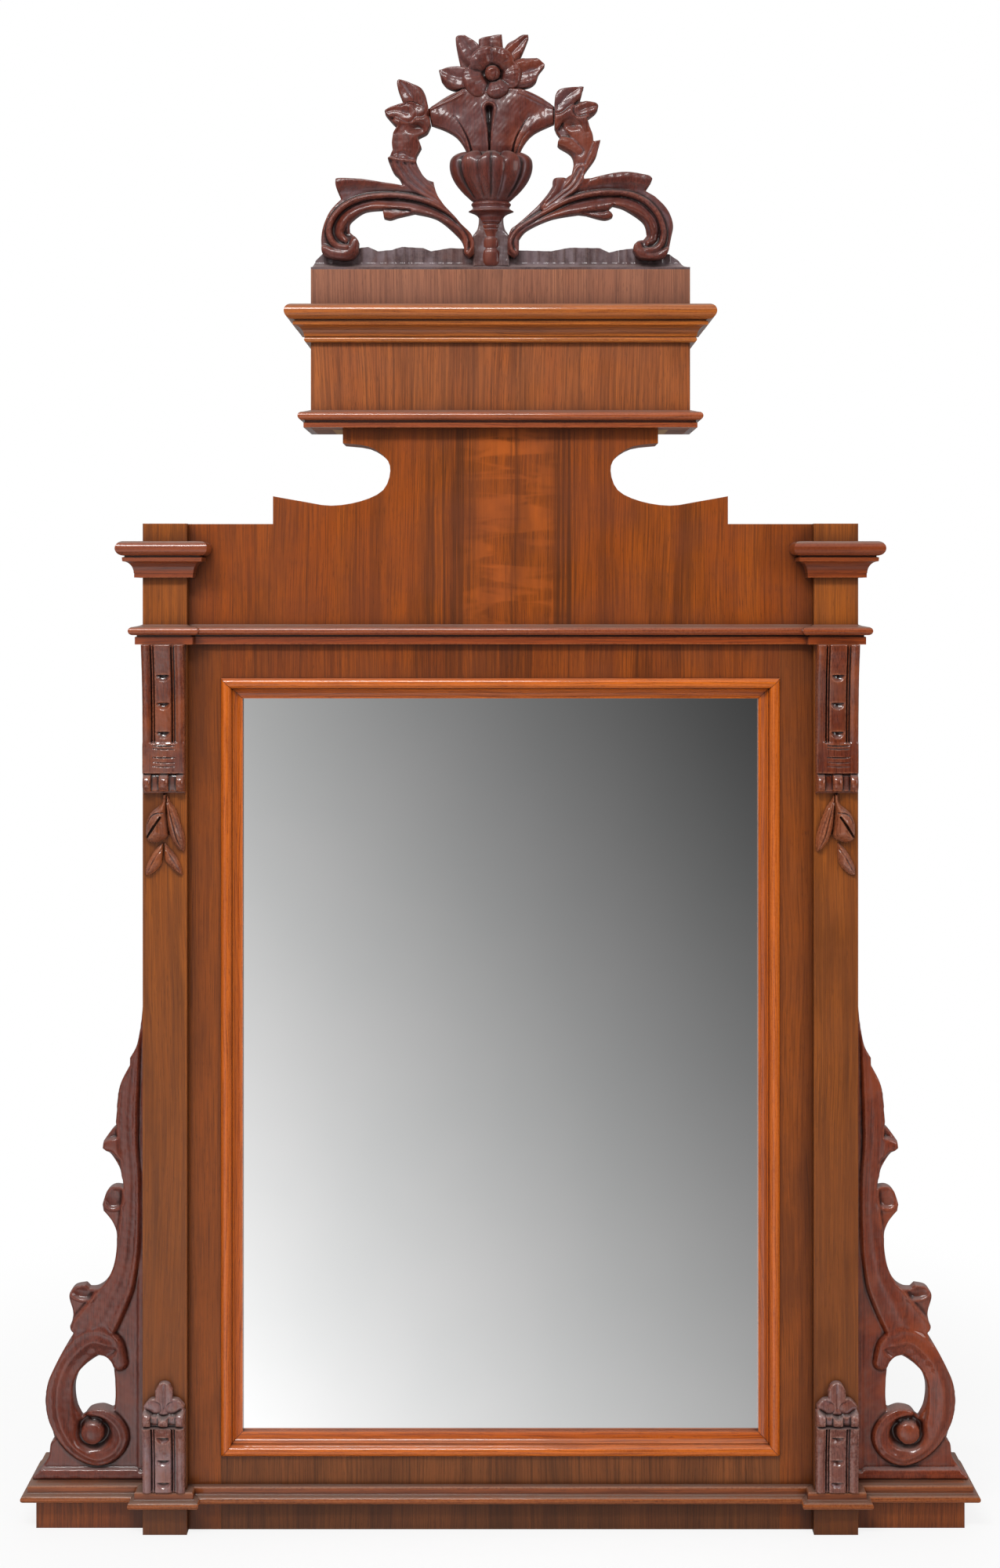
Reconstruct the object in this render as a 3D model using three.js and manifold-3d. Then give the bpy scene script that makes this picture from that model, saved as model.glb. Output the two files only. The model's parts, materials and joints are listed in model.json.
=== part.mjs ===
// Pier mirror: walnut carcase with two pilasters, a shaped pediment board, a frieze box
// with cornice and architrave mouldings, pierced side wings and a carved urn crest.
// Millimetres, +Z up, the front faces -Y. Depths are given as distances forward of the wall.
import * as THREE from 'three';
import { mergeVertices } from 'three/addons/utils/BufferGeometryUtils.js';
import Module from 'manifold-3d';

const wasm = await Module();
wasm.setup();

// ---- driving sizes -------------------------------------------------------------------
const pilasterWidth = 49;
const pilasterDepth = 92;
const openingWidth = 624;        // clear width between the stiles
const stileWidth = 36;
const frameFace = 79;            // front face of stiles, rails and pediment board
const frameThickness = 45;
const bottomRailHeight = 82;
const openingHeight = 868;
const topRailHeight = 50;
const boardRise = 122;           // top rail to the top of the pilasters
const tenonLength = 24;
const tenonThickness = 14;
const tenonShoulder = 7;
const fitGap = 0.3;              // clearance where one piece is cut to another

const sightWidth = 23;           // width of the glass moulding
const plateThickness = 6;
const plateEdgeGap = 2;
const rebateFace = 66;           // back face of the glass moulding
const blockWidth = 16;
const backBoardThickness = 10;
const backBoardLap = 20;
const backBoardCount = 3;

const capHeight = 17;            // plinth caps
const capTop = 50.5;
const sideReach = 122;           // side plinth beyond the pilaster
const sideFace = 76;

const neckHeight = 22;           // moulding over the top rail
const neckLap = 12;              // how far it laps down over the top rail
const capitalHeight = 40;
const capitalDrop = 60;          // its underside below the top of the pilaster
const capitalProjection = 26;
const capitalReturn = 46;        // how far the outer return runs back

const friezeRise = 106.6;        // frieze over the top of the pilasters
const friezeHeight = 135.4;
const friezeWidth = 422;
const friezeFace = 86;
const friezeBoard = 22;
const friezeInner = 12;          // top and bottom boards of the box
const corniceHeight = 40.7;
const architraveHeight = 19.9;
const atticHeight = 41;
const atticBack = 20;

const shoulderWidth = 352;       // pediment board under the frieze
const shoulderHeight = 16.5;     // its straight edge below the frieze
const earWidth = 508;            // tips of the scoops
const earHeight = 31;            // tips over the carcase top
const scoopReach = 123;          // half width at the narrowest place
const scoopLow = 20.5;           // lowest place of the scoop over the carcase top

const wingBack = 50;
const wingThickness = 16;
const wingRelief = 9;
const corbelWidth = 46.5;
const corbelDepth = 21;
const upperCorbelHeight = 165;
const lowerCorbelHeight = 90;

const crestBack = 62;            // back plane of the carved crest
const crestThickness = 13;
const groundBack = 40;
const groundHeight = 27;
const urnAxis = -10.5;           // the urn was glued on a little left of the middle
const dowelRadius = 4;
const dowelLength = 36;
const dowelReach = 150;

// ---- places worked out from them -----------------------------------------------------
const stileEdge = openingWidth / 2;
const pilasterEdge = stileEdge + stileWidth;
const outerEdge = pilasterEdge + pilasterWidth;
const frameBack = frameFace - frameThickness;
const openingTop = bottomRailHeight + openingHeight;
const topRailTop = openingTop + topRailHeight;
const carcaseHeight = topRailTop + boardRise;
const neckBottom = topRailTop - neckLap;
const capitalBottom = carcaseHeight - capitalDrop;
const friezeBottom = carcaseHeight + friezeRise;
const friezeTop = friezeBottom + friezeHeight;
const friezeEdge = friezeWidth / 2;
const crestBase = friezeTop + atticHeight;
const capBottom = capTop - capHeight;
const plateFront = rebateFace - fitGap;
const plateBack = plateFront - plateThickness;
const overallDepth = pilasterDepth + capitalProjection;

// ---- finishes ------------------------------------------------------------------------
const finish = (color, roughness, metalness = 0) =>
  new THREE.MeshStandardMaterial({ color, roughness, metalness });
const veneer = () => finish(0x8a4f24, 0.3);
const moulding = () => finish(0x9c5a28, 0.28);
const carving = () => finish(0x6a332a, 0.32);
const pine = () => finish(0xb08a5a, 0.8);
const silvered = () => finish(0xb9bdbd, 0.04, 1);

const model = new THREE.Group();
model.position.y = overallDepth / 2;

const place = (x, forward, z) => new THREE.Vector3(x, -forward, z);

function add(name, geometry, material) {
  const mesh = new THREE.Mesh(geometry, material);
  mesh.name = name;
  model.add(mesh);
  return mesh;
}

// ---- solids --------------------------------------------------------------------------
function fromArrays(positions, faces) {
  let volume = 0;
  const at = (i) => new THREE.Vector3().fromArray(positions, 3 * i);
  for (let i = 0; i < faces.length; i += 3) {
    volume += at(faces[i]).dot(at(faces[i + 1]).cross(at(faces[i + 2])));
  }
  if (volume < 0) {
    for (let i = 0; i < faces.length; i += 3) {
      [faces[i], faces[i + 1]] = [faces[i + 1], faces[i]];
    }
  }
  const geometry = new THREE.BufferGeometry();
  geometry.setAttribute('position', new THREE.Float32BufferAttribute(positions, 3));
  geometry.setIndex(faces);
  geometry.computeVertexNormals();
  return geometry;
}

// a flat section carried through stations, each a function from section point to space
function loft(section, stations) {
  const ring = THREE.ShapeUtils.isClockWise(section) ? [...section].reverse() : section;
  const n = ring.length;
  const positions = [];
  const faces = [];
  for (const station of stations) {
    for (const q of ring) positions.push(...station(q).toArray());
  }
  for (let s = 0; s + 1 < stations.length; s += 1) {
    for (let j = 0; j < n; j += 1) {
      const a = s * n + j;
      const b = s * n + ((j + 1) % n);
      faces.push(a, b, b + n, a, b + n, a + n);
    }
  }
  const last = (stations.length - 1) * n;
  for (const [a, b, c] of THREE.ShapeUtils.triangulateShape(ring, [])) {
    faces.push(c, b, a, last + a, last + b, last + c);
  }
  return fromArrays(positions, faces);
}

function box(x0, x1, back, front, z0, z1) {
  const geometry = new THREE.BoxGeometry(x1 - x0, front - back, z1 - z0);
  return geometry.translate((x0 + x1) / 2, -(front + back) / 2, (z0 + z1) / 2);
}

// a plate cut from a board: outline and holes in X and Z, faces at back and front
function plate(outline, back, front, holes = []) {
  const shape = new THREE.Shape(outline);
  shape.holes = holes.map((hole) => new THREE.Path(hole));
  const geometry = new THREE.ExtrudeGeometry(shape, {
    depth: front - back, bevelEnabled: false, curveSegments: 6,
  });
  const turn = new THREE.Matrix4().set(1, 0, 0, 0, 0, 0, -1, -back, 0, 1, 0, 0, 0, 0, 0, 1);
  return geometry.applyMatrix4(turn);
}

function toManifold(geometry) {
  const bare = geometry.clone();
  bare.deleteAttribute('normal');
  bare.deleteAttribute('uv');
  const merged = mergeVertices(bare, 1e-4);
  return new wasm.Manifold(new wasm.Mesh({
    numProp: 3,
    vertProperties: new Float32Array(merged.attributes.position.array),
    triVerts: new Uint32Array(merged.index.array),
  }));
}

function fromManifold(solid) {
  const mesh = solid.getMesh();
  const geometry = new THREE.BufferGeometry();
  geometry.setAttribute('position', new THREE.Float32BufferAttribute(mesh.vertProperties, 3));
  geometry.setIndex([...mesh.triVerts]);
  geometry.computeVertexNormals();
  return geometry;
}

const join = (...parts) =>
  fromManifold(parts.map(toManifold).reduce((whole, part) => whole.add(part)));
const cut = (body, ...tools) =>
  fromManifold(tools.map(toManifold).reduce((rest, tool) => rest.subtract(tool), toManifold(body)));
// what lies forward of a flat plane, as a carving glued to a face
const frontOf = (body, back) => cut(body, box(-1000, 1000, back - 200, back, -100, 2500));
const mirrored = (geometry) => {
  const copy = geometry.clone().applyMatrix4(new THREE.Matrix4().makeScale(-1, 1, 1));
  const faces = [...copy.index.array];
  for (let i = 0; i < faces.length; i += 3) {
    [faces[i], faces[i + 1]] = [faces[i + 1], faces[i]];
  }
  copy.setIndex(faces);
  copy.computeVertexNormals();
  return copy;
};

// part of an ellipse in a section, angles in degrees
function bow(cx, cy, rx, ry, from, to, steps = 6) {
  return Array.from({ length: steps + 1 }, (_, i) => {
    const t = THREE.MathUtils.degToRad(from + ((to - from) * i) / steps);
    return new THREE.Vector2(cx + rx * Math.cos(t), cy + ry * Math.sin(t));
  });
}

const points = (pairs) => pairs.map(([x, y]) => new THREE.Vector2(x, y));

// smooth runs between sharp corners: each run is a spline through its own few points
function outlineOf(runs, steps = 2) {
  const all = [];
  for (const run of runs) {
    const bare = points(run);
    const smooth = bare.length > 2
      ? new THREE.SplineCurve(bare).getPoints((bare.length - 1) * steps) : bare;
    all.push(...smooth);
  }
  return all;
}

// ---- mouldings -----------------------------------------------------------------------
// Each section gives (projection from its face, height from its underside).
const corniceSection = [
  ...points([[0, 0]]),
  ...bow(4, 3.1, 3, 3.1, -90, 60, 4),
  ...bow(17.3, 6.9, 10.2, 10.9, 180, 90, 5),
  ...points([[18.1, 17.8], [18.1, 21.9], [16.2, 22.4], [16.2, 23.6]]),
  ...bow(18.7, 32.2, 8.5, 8.5, -90, 90, 8),
  ...points([[0, corniceHeight]]),
];
const architraveSection = [
  ...points([[0, 0], [7.5, 0], [7.5, 5.2], [6.1, 5.9], [6.1, 8]]),
  ...bow(9.2, 12.6, 4.3, 4.5, -90, 90, 6),
  ...points([[0, architraveHeight]]),
];
const neckSection = [
  ...points([[0, 0], [7.4, 0], [7.4, 8.2], [5.6, 8.9], [5.6, 10.3]]),
  ...bow(9.2, 14.9, 4.8, 4.6, -90, 90, 6),
  ...points([[3.5, 20.6], [0, neckHeight]]),
];
const capitalSection = [
  ...points([[0, 0], [8, 0], [8, 4.8]]),
  ...bow(18.3, 4.8, 9.9, 12.8, 180, 96, 5),
  ...points([[19, 17.9], [19.4, 22], [17, 22.8], [17, 24]]),
  ...bow(capitalProjection - 8, 32, 8, 8, -90, 90, 8),
  ...points([[0, capitalHeight]]),
];
const capSection = [
  ...points([[0, 0]]),
  ...bow(10.6, 4.1, 4, 4.1, -90, 90, 6),
  ...bow(10.6, 10.4, 2.8, 2, 270, 180, 3),
  ...points([[7.8, 15.9], [6.6, capHeight], [0, capHeight]]),
];

// A moulding runs round corners given as (x, forward, outward x, outward forward): the
// outward pair says how a projection of one moves the corner, so mitres come by themselves.
function mouldingRun(section, bottom, corners) {
  return loft(section, corners.map(([x, forward, outX, outForward]) =>
    (q) => place(x + q.x * outX, forward + q.x * outForward, bottom + q.y)));
}

// ---- carcase -------------------------------------------------------------------------
for (const side of [-1, 1]) {
  const label = side < 0 ? 'left' : 'right';
  const span = (a, b) => (side < 0 ? [-b, -a] : [a, b]);

  add(`pilaster_${label}`,
    box(...span(pilasterEdge, outerEdge), 0, pilasterDepth, 0, carcaseHeight), veneer());

  // each stile is mortised for the tenons of both rails
  const tenonFront = frameBack + (frameThickness + tenonThickness) / 2 + fitGap;
  const tenonBack = frameBack + (frameThickness - tenonThickness) / 2 - fitGap;
  const mortise = (z0, z1) => box(...span(stileEdge - 1, stileEdge + tenonLength + fitGap),
    tenonBack, tenonFront, z0 - fitGap, z1 + fitGap);
  add(`frame_stile_${label}`, cut(
    box(...span(stileEdge, pilasterEdge), frameBack, frameFace, 0, topRailTop),
    mortise(tenonShoulder, bottomRailHeight - tenonShoulder),
    mortise(openingTop + tenonShoulder, topRailTop - tenonShoulder)), veneer());
}

function rail(z0, z1) {
  const back = frameBack + (frameThickness - tenonThickness) / 2;
  return join(
    box(-stileEdge, stileEdge, frameBack, frameFace, z0, z1),
    box(-stileEdge - tenonLength, stileEdge + tenonLength, back, back + tenonThickness,
      z0 + tenonShoulder, z1 - tenonShoulder));
}
add('frame_bottom_rail', rail(0, bottomRailHeight), veneer());
add('frame_top_rail', rail(openingTop, topRailTop), veneer());

// ---- glass moulding, plate, blocks and back boards --------------------------------------
// section: (distance in from the frame opening, forward of the wall)
const beadWidth = 11.4;
const glassSection = [
  ...points([[0, rebateFace]]),
  ...bow(beadWidth / 2, frameFace, beadWidth / 2, 5.5, 180, 0, 8),
  ...points([[beadWidth + 0.6, frameFace - 2.5], [beadWidth + 1.4, frameFace - 2.2]]),
  ...bow(sightWidth - 1, frameFace - 2.2, 8.8, 6, 186, 270, 4),
  ...points([[sightWidth, frameFace - 8.2], [sightWidth, rebateFace]]),
];
const across = (x, z, dx, dz) => (q) => place(x + q.x * dx, q.y, z + q.x * dz);
add('glass_moulding_top', loft(glassSection, [
  across(-stileEdge, openingTop, 1, -1), across(stileEdge, openingTop, -1, -1)]), moulding());
add('glass_moulding_bottom', loft(glassSection, [
  across(-stileEdge, bottomRailHeight, 1, 1),
  across(stileEdge, bottomRailHeight, -1, 1)]), moulding());
for (const side of [-1, 1]) {
  add(`glass_moulding_${side < 0 ? 'left' : 'right'}`, loft(glassSection, [
    across(side * stileEdge, bottomRailHeight + 2 * fitGap, -side, 1),
    across(side * stileEdge, openingTop - 2 * fitGap, -side, -1)]), moulding());
}
add('mirror_plate', box(-stileEdge + plateEdgeGap, stileEdge - plateEdgeGap,
  plateBack, plateFront, bottomRailHeight + plateEdgeGap, openingTop - plateEdgeGap), silvered());

// wedge-shaped strips glued round the rebate hold the plate forward
const blockBack = plateBack - 14;
const blockSection = points([[0, blockBack], [0, plateBack], [blockWidth, plateBack],
  [blockWidth, plateBack - 3], [3, blockBack]]);
for (const side of [-1, 1]) {
  add(`glazing_strip_${side < 0 ? 'left' : 'right'}`, loft(blockSection, [
    (q) => place(side * (stileEdge - q.x), q.y, bottomRailHeight + blockWidth + fitGap),
    (q) => place(side * (stileEdge - q.x), q.y, openingTop - blockWidth - fitGap)]), pine());
}
add('glazing_strip_bottom', loft(blockSection, [
  (q) => place(-stileEdge, q.y, bottomRailHeight + q.x),
  (q) => place(stileEdge, q.y, bottomRailHeight + q.x)]), pine());
add('glazing_strip_top', loft(blockSection, [
  (q) => place(-stileEdge, q.y, openingTop - q.x),
  (q) => place(stileEdge, q.y, openingTop - q.x)]), pine());

const backBottom = bottomRailHeight - backBoardLap;
const backTop = openingTop + backBoardLap;
const boardPitch = (backTop - backBottom) / backBoardCount;
for (let i = 0; i < backBoardCount; i += 1) {
  add(`back_board_${i + 1}`, box(-pilasterEdge + 1, pilasterEdge - 1,
    frameBack - backBoardThickness, frameBack,
    backBottom + i * boardPitch + (i ? 0.8 : 0), backBottom + (i + 1) * boardPitch), pine());
}

// ---- pediment board with its two scoops ---------------------------------------------------
const boardBottom = topRailTop;
const shoulderBottom = friezeBottom - shoulderHeight;
const scoopTop = shoulderBottom - carcaseHeight;
const halfBoard = [
  ...points([[shoulderWidth / 2, friezeBottom]]),
  ...outlineOf([[
    [shoulderWidth / 2, shoulderBottom],
    [shoulderWidth / 2 - 28, shoulderBottom - 3.5],
    [scoopReach + 6, shoulderBottom - scoopTop * 0.17],
    [scoopReach, carcaseHeight + scoopTop * 0.66],
    [scoopReach + 8, carcaseHeight + scoopTop * 0.42],
    [scoopReach + 33, carcaseHeight + scoopLow + 5],
    [scoopReach + 66, carcaseHeight + scoopLow],
    [earWidth / 2 - 34, carcaseHeight + scoopLow + 4.5],
    [earWidth / 2, carcaseHeight + earHeight],
  ]], 3),
  ...points([[earWidth / 2, carcaseHeight], [pilasterEdge, carcaseHeight],
    [pilasterEdge, boardBottom]]),
];
const boardOutline = [...halfBoard,
  ...halfBoard.map((q) => new THREE.Vector2(-q.x, q.y)).reverse()];
const boardTenonReach = 100;
const boardTenonWidth = 60;
const boardTenonBack = 50;
const boardTenonFront = 62;
const tenonsUp = [-1, 1].map((side) => box(
  side * boardTenonReach - boardTenonWidth / 2, side * boardTenonReach + boardTenonWidth / 2,
  boardTenonBack, boardTenonFront, friezeBottom - 5, friezeBottom + friezeInner - fitGap));
add('pediment_board', join(plate(boardOutline, frameBack, frameFace), ...tenonsUp), veneer());

// ---- frieze box ---------------------------------------------------------------------------
const boxFrontBack = friezeFace - friezeBoard;
add('frieze_front',
  box(-friezeEdge, friezeEdge, boxFrontBack, friezeFace, friezeBottom, friezeTop), veneer());
for (const side of [-1, 1]) {
  const [x0, x1] = side < 0 ? [-friezeEdge, -friezeEdge + friezeBoard]
    : [friezeEdge - friezeBoard, friezeEdge];
  add(`frieze_side_${side < 0 ? 'left' : 'right'}`,
    box(x0, x1, 0, boxFrontBack, friezeBottom, friezeTop), veneer());
}
const innerEdge = friezeEdge - friezeBoard;
const mortisesUp = [-1, 1].map((side) => box(
  side * boardTenonReach - boardTenonWidth / 2 - fitGap,
  side * boardTenonReach + boardTenonWidth / 2 + fitGap,
  boardTenonBack - fitGap, boardTenonFront + fitGap, friezeBottom - 5, friezeTop));
add('frieze_bottom', cut(box(-innerEdge, innerEdge, 0, boxFrontBack, friezeBottom,
  friezeBottom + friezeInner), ...mortisesUp), pine());
add('frieze_top', box(-innerEdge, innerEdge, 0, boxFrontBack,
  friezeTop - friezeInner, friezeTop), pine());

const dowelHole = (side, z0, z1, radius) =>
  new THREE.CylinderGeometry(radius, radius, z1 - z0, 12).rotateX(Math.PI / 2)
    .translate(side * dowelReach, -(groundBack + 12), (z0 + z1) / 2);
const dowelBottom = crestBase - dowelLength / 2;
add('attic_block', cut(
  box(-friezeEdge, friezeEdge, atticBack, friezeFace, friezeTop, crestBase),
  ...[-1, 1].map((side) => dowelHole(side, dowelBottom - fitGap, crestBase + 1,
    dowelRadius + fitGap))), veneer());

// front run and two returns, mitred at the corners, returns back to the wall
function mouldingRound(name, section, bottom, edge, face, back) {
  add(`${name}_front`, mouldingRun(section, bottom,
    [[-edge, face, -1, 1], [edge, face, 1, 1]]), moulding());
  for (const side of [-1, 1]) {
    add(`${name}_return_${side < 0 ? 'left' : 'right'}`, mouldingRun(section, bottom,
      [[side * edge, back, side, 0], [side * edge, face - 2 * fitGap, side, 1]]), moulding());
  }
}
mouldingRound('cornice', corniceSection, friezeTop - corniceHeight, friezeEdge, friezeFace, 0);
mouldingRound('architrave', architraveSection, friezeBottom, friezeEdge, friezeFace, 0);

// ---- mouldings round the pilasters ----------------------------------------------------------
for (const side of [-1, 1]) {
  const label = side < 0 ? 'left' : 'right';
  const outer = side * outerEdge;
  const inner = side * pilasterEdge;
  const square = [inner, frameFace, -side, 0];
  const mitred = [inner, frameFace + 2 * fitGap, -side, 1];
  const front = [[inner, pilasterDepth, -side, 1], [outer, pilasterDepth, side, 1]];
  add(`capital_${label}`, mouldingRun(capitalSection, capitalBottom,
    [square, ...front, [outer, pilasterDepth - capitalReturn, side, 0]]), moulding());
  add(`neck_moulding_${label}`, mouldingRun(neckSection, neckBottom,
    [mitred, ...front, [outer, 0, side, 0]]), moulding());
  add(`plinth_cap_pilaster_${label}`, mouldingRun(capSection, capBottom,
    [mitred, ...front, [outer, sideFace + 2 * fitGap, side, 1]]), moulding());

  // side plinth: a block with its cap returned round the outer end
  const end = side * (outerEdge + sideReach);
  add(`side_plinth_${label}`, box(Math.min(outer, end), Math.max(outer, end),
    0, sideFace, 0, capTop), veneer());
  add(`plinth_cap_side_${label}`, mouldingRun(capSection, capBottom,
    [[outer, sideFace, side, 1], [end, sideFace, side, 1], [end, 0, side, 0]]), moulding());
}
const centreRun = (section, bottom) => mouldingRun(section, bottom,
  [[-pilasterEdge, frameFace, 1, 1], [pilasterEdge, frameFace, -1, 1]]);
add('neck_moulding_centre', centreRun(neckSection, neckBottom), moulding());
add('plinth_cap_centre', centreRun(capSection, capBottom), moulding());

// ---- carving helpers ------------------------------------------------------------------------
// a rounded rib laid along a spline in the plane of the board, tapering by its widths
function rib(path, widths, back, height, steps = 14, sides = 5) {
  const curve = new THREE.SplineCurve(points(path));
  const taper = new THREE.SplineCurve(widths.map((w, i) => new THREE.Vector2(i, w)));
  const section = bow(0, 0, 1, 1, 0, 180, sides);
  const stations = Array.from({ length: steps + 1 }, (_, i) => {
    const t = i / steps;
    const at = curve.getPointAt(t);
    const along = curve.getTangentAt(t);
    const half = taper.getPoint(t).y / 2;
    const rise = height * Math.min(1, half / (Math.max(...widths) / 2) + 0.25);
    return (q) => place(at.x - along.y * half * q.x, back + rise * q.y,
      at.y + along.x * half * q.x);
  });
  return loft(section, stations);
}

// a low dome on a flat back, such as a petal, fruit or button
function dome(x, z, rx, rz, back, height, turn = 0, steps = 10) {
  const half = new THREE.SphereGeometry(1, steps, 5, 0, Math.PI * 2, 0, Math.PI / 2);
  const lid = new THREE.CircleGeometry(1, steps).rotateX(Math.PI / 2);
  const position = [...half.attributes.position.array, ...lid.attributes.position.array];
  const offset = half.attributes.position.count;
  const index = [...half.index.array, ...[...lid.index.array].map((i) => i + offset)];
  const whole = new THREE.BufferGeometry();
  whole.setAttribute('position', new THREE.Float32BufferAttribute(position, 3));
  whole.setIndex(index);
  whole.rotateX(Math.PI).scale(rx, height, rz).rotateY(turn).translate(x, -back, z);
  const flat = mergeVertices(whole, 1e-4);
  const faces = [];
  for (let i = 0; i < flat.index.count; i += 3) {
    const [a, b, c] = [0, 1, 2].map((k) => flat.index.getX(i + k));
    if (a !== b && b !== c && c !== a) faces.push(a, b, c);
  }
  return fromArrays([...flat.attributes.position.array], faces);
}

// ---- side wings -------------------------------------------------------------------------------
// runs of the outline: (out from the pilaster, up from the plinth cap), foot to tip
const wingRuns = [
  [[0, 0], [128, 0]],
  [[128, 3], [121, 9], [112, 22], [109.5, 37], [105, 42]],
  [[105, 43], [111, 68], [114, 88], [111, 108], [104, 125], [93, 146], [83, 162]],
  [[83, 164], [87, 169.5], [84.5, 177], [84.5, 187], [88.5, 203], [83, 213], [70.5, 216]],
  [[66, 211.5], [57, 212.5], [47.5, 219.5], [39, 235], [35, 253], [34.5, 271], [40, 287],
    [50, 299]],
  [[51, 306], [46.5, 320.5], [38, 327], [26.5, 326]],
  [[27.5, 335], [32.5, 349], [40.5, 362], [50, 371]],
  [[49, 379], [41, 390], [35.5, 395]],
  [[34.5, 412], [33, 432], [28, 448], [19.5, 464]],
  [[19.5, 472], [12, 486], [8, 506], [5.5, 531]],
  [[0, 531]],
];
const wingHole = [
  [[39, 129], [44, 135], [53, 137], [64, 131], [75, 122], [82, 108], [83.5, 94], [81, 78],
    [75, 66]],
  [[71.5, 69], [65, 76], [52, 78.5], [41, 75]],
  [[37.5, 78], [36.5, 92], [37, 110]],
];
function wing() {
  const shift = (runs) => outlineOf(runs)
    .map((q) => new THREE.Vector2(outerEdge + q.x, capTop + q.y));
  const local = (pairs) => pairs.map(([x, y]) => [outerEdge + x, capTop + y]);
  const face = wingBack + wingThickness;
  const board = plate(shift(wingRuns), wingBack, face, [shift(wingHole)]);
  const scroll = rib(local([[33, 133], [44, 146], [62, 150], [82, 134], [97, 108], [98, 78],
    [88, 48], [68, 30], [46, 30], [36, 46], [42, 62], [55, 66]]),
  [14, 22, 25, 26, 27, 28, 25, 22, 19, 17, 14, 9], face - 1, wingRelief, 30);
  const stem = rib(local([[14, 440], [18, 400], [24, 350], [19, 300], [22, 250], [34, 212],
    [58, 184], [72, 166]]), [6, 14, 16, 14, 16, 18, 20, 12], face - 1, wingRelief * 0.6, 16);
  const lip = rib(local([[40, 196], [56, 199], [74, 203], [84, 206]]), [8, 12, 13, 8],
    face - 1, wingRelief * 0.8, 8);
  const knob = dome(outerEdge + 42, capTop + 311, 11, 14, face - 1, wingRelief, 0, 10);
  const eye = dome(outerEdge + 62, capTop + 51, 13, 13, face - 1, wingRelief + 6, 0, 12);
  return join(board, scroll, stem, lip, knob, eye);
}
const rightWing = wing();
add('wing_right', rightWing, carving());
add('wing_left', mirrored(rightWing), carving());

// ---- corbels on the pilasters --------------------------------------------------------------------
const corbelAxis = pilasterEdge + pilasterWidth / 2;
const corbelRib = 10;            // width of each outer rib
const corbelCentre = 18;
const rollDrop = 20;

// side shape of a corbel as (forward of the pilaster, up from the roll)
const bracket = (height, depth) => points([[0, 0], [depth * 0.52, 0]])
  .concat(new THREE.SplineCurve(points([[depth * 0.52, 4], [depth * 0.5, height * 0.3],
    [depth * 0.7, height * 0.65], [depth, height * 0.92]])).getPoints(6))
  .concat(points([[depth, height], [0, height]]));

function corbelBody(bottom, height, notches) {
  const side = bracket(height, corbelDepth);
  const slab = (x0, x1, scale) => loft(side, [x0, x1].map((x) =>
    (q) => place(x, pilasterDepth + q.x * scale, bottom + q.y)));
  const half = corbelWidth / 2;
  const pieces = [
    slab(-half, half, 0.72),
    slab(-half, -half + corbelRib, 1),
    slab(half - corbelRib, half, 1),
    slab(-corbelCentre / 2, corbelCentre / 2, 0.94),
  ];
  const tools = notches.map((share) => dome(0, bottom + height * share, corbelCentre * 0.42, 5,
    pilasterDepth + corbelDepth * (0.4 + 0.45 * share * share), 30, 0, 8));
  return cut(join(...pieces), ...tools);
}

function roll(bottom, height, depth) {
  const half = corbelWidth / 2;
  const barrel = (x, width) => new THREE.CylinderGeometry(height / 2, height / 2, width, 10)
    .rotateZ(Math.PI / 2).translate(x, -(pilasterDepth + depth - height / 2), bottom + height / 2);
  return [
    box(-half + 1, half - 1, pilasterDepth, pilasterDepth + depth - 4, bottom + 2,
      bottom + height),
    barrel(-half + corbelRib / 2, corbelRib - 1),
    barrel(0, 12),
    barrel(half - corbelRib / 2, corbelRib - 1),
  ];
}

const upperBottom = neckBottom - upperCorbelHeight;
const lowerBottom = capTop;
const shiftTo = (geometry, x) => geometry.clone().translate(x, 0, 0);
const upperCorbel = frontOf(join(
  corbelBody(upperBottom + rollDrop, upperCorbelHeight - rollDrop, [0.28, 0.52, 0.78]),
  ...roll(upperBottom, rollDrop + 2, 15)), pilasterDepth);
const leafOutline = (runs) => outlineOf(runs);
const finial = plate(leafOutline([
  [[-22, 0], [-22.5, 5], [-16, 12], [-9.5, 13.5]],
  [[-9.5, 22], [-5.5, 29], [0, 31], [5.5, 29], [9.5, 22]],
  [[9.5, 13.5], [16, 12], [22.5, 5], [22, 0]],
].map((run) => run.map(([x, y]) => [x, lowerBottom + lowerCorbelHeight + y]))),
pilasterDepth, pilasterDepth + 9);
const lowerCorbel = frontOf(join(
  corbelBody(lowerBottom, lowerCorbelHeight - rollDrop + 4, [0.12, 0.5, 0.86]),
  ...roll(lowerBottom + lowerCorbelHeight - rollDrop + 2, rollDrop, 17), finial), pilasterDepth);

// fruit on a stem with three leaves, carved in one piece below each upper corbel
const dropTop = upperBottom - fitGap;
const dropLeaf = (runs) => plate(leafOutline(runs.map((run) =>
  run.map(([x, y]) => [x, dropTop + y]))), pilasterDepth, pilasterDepth + 7);
const drop = join(
  dropLeaf([[[-6, 0], [-5, -9], [-8, -22]], [[-4, -64], [2, -64]], [[8, -22], [7, -9], [4, 0]]]),
  dome(-8, dropTop - 39, 14, 15, pilasterDepth, 12, 0, 12),
  dropLeaf([[[4, -8], [12, -22], [19, -42], [21.5, -64]], [[11, -56], [4, -42], [0, -18]]]),
  dropLeaf([[[-3, -52], [-12, -68], [-21, -91]], [[-12, -86], [-4, -78], [0, -66], [1, -52]]]),
  dropLeaf([[[2, -52], [10, -60], [17, -74], [20.5, -90]], [[10, -83], [3, -72], [-1, -56]]]));

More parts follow.
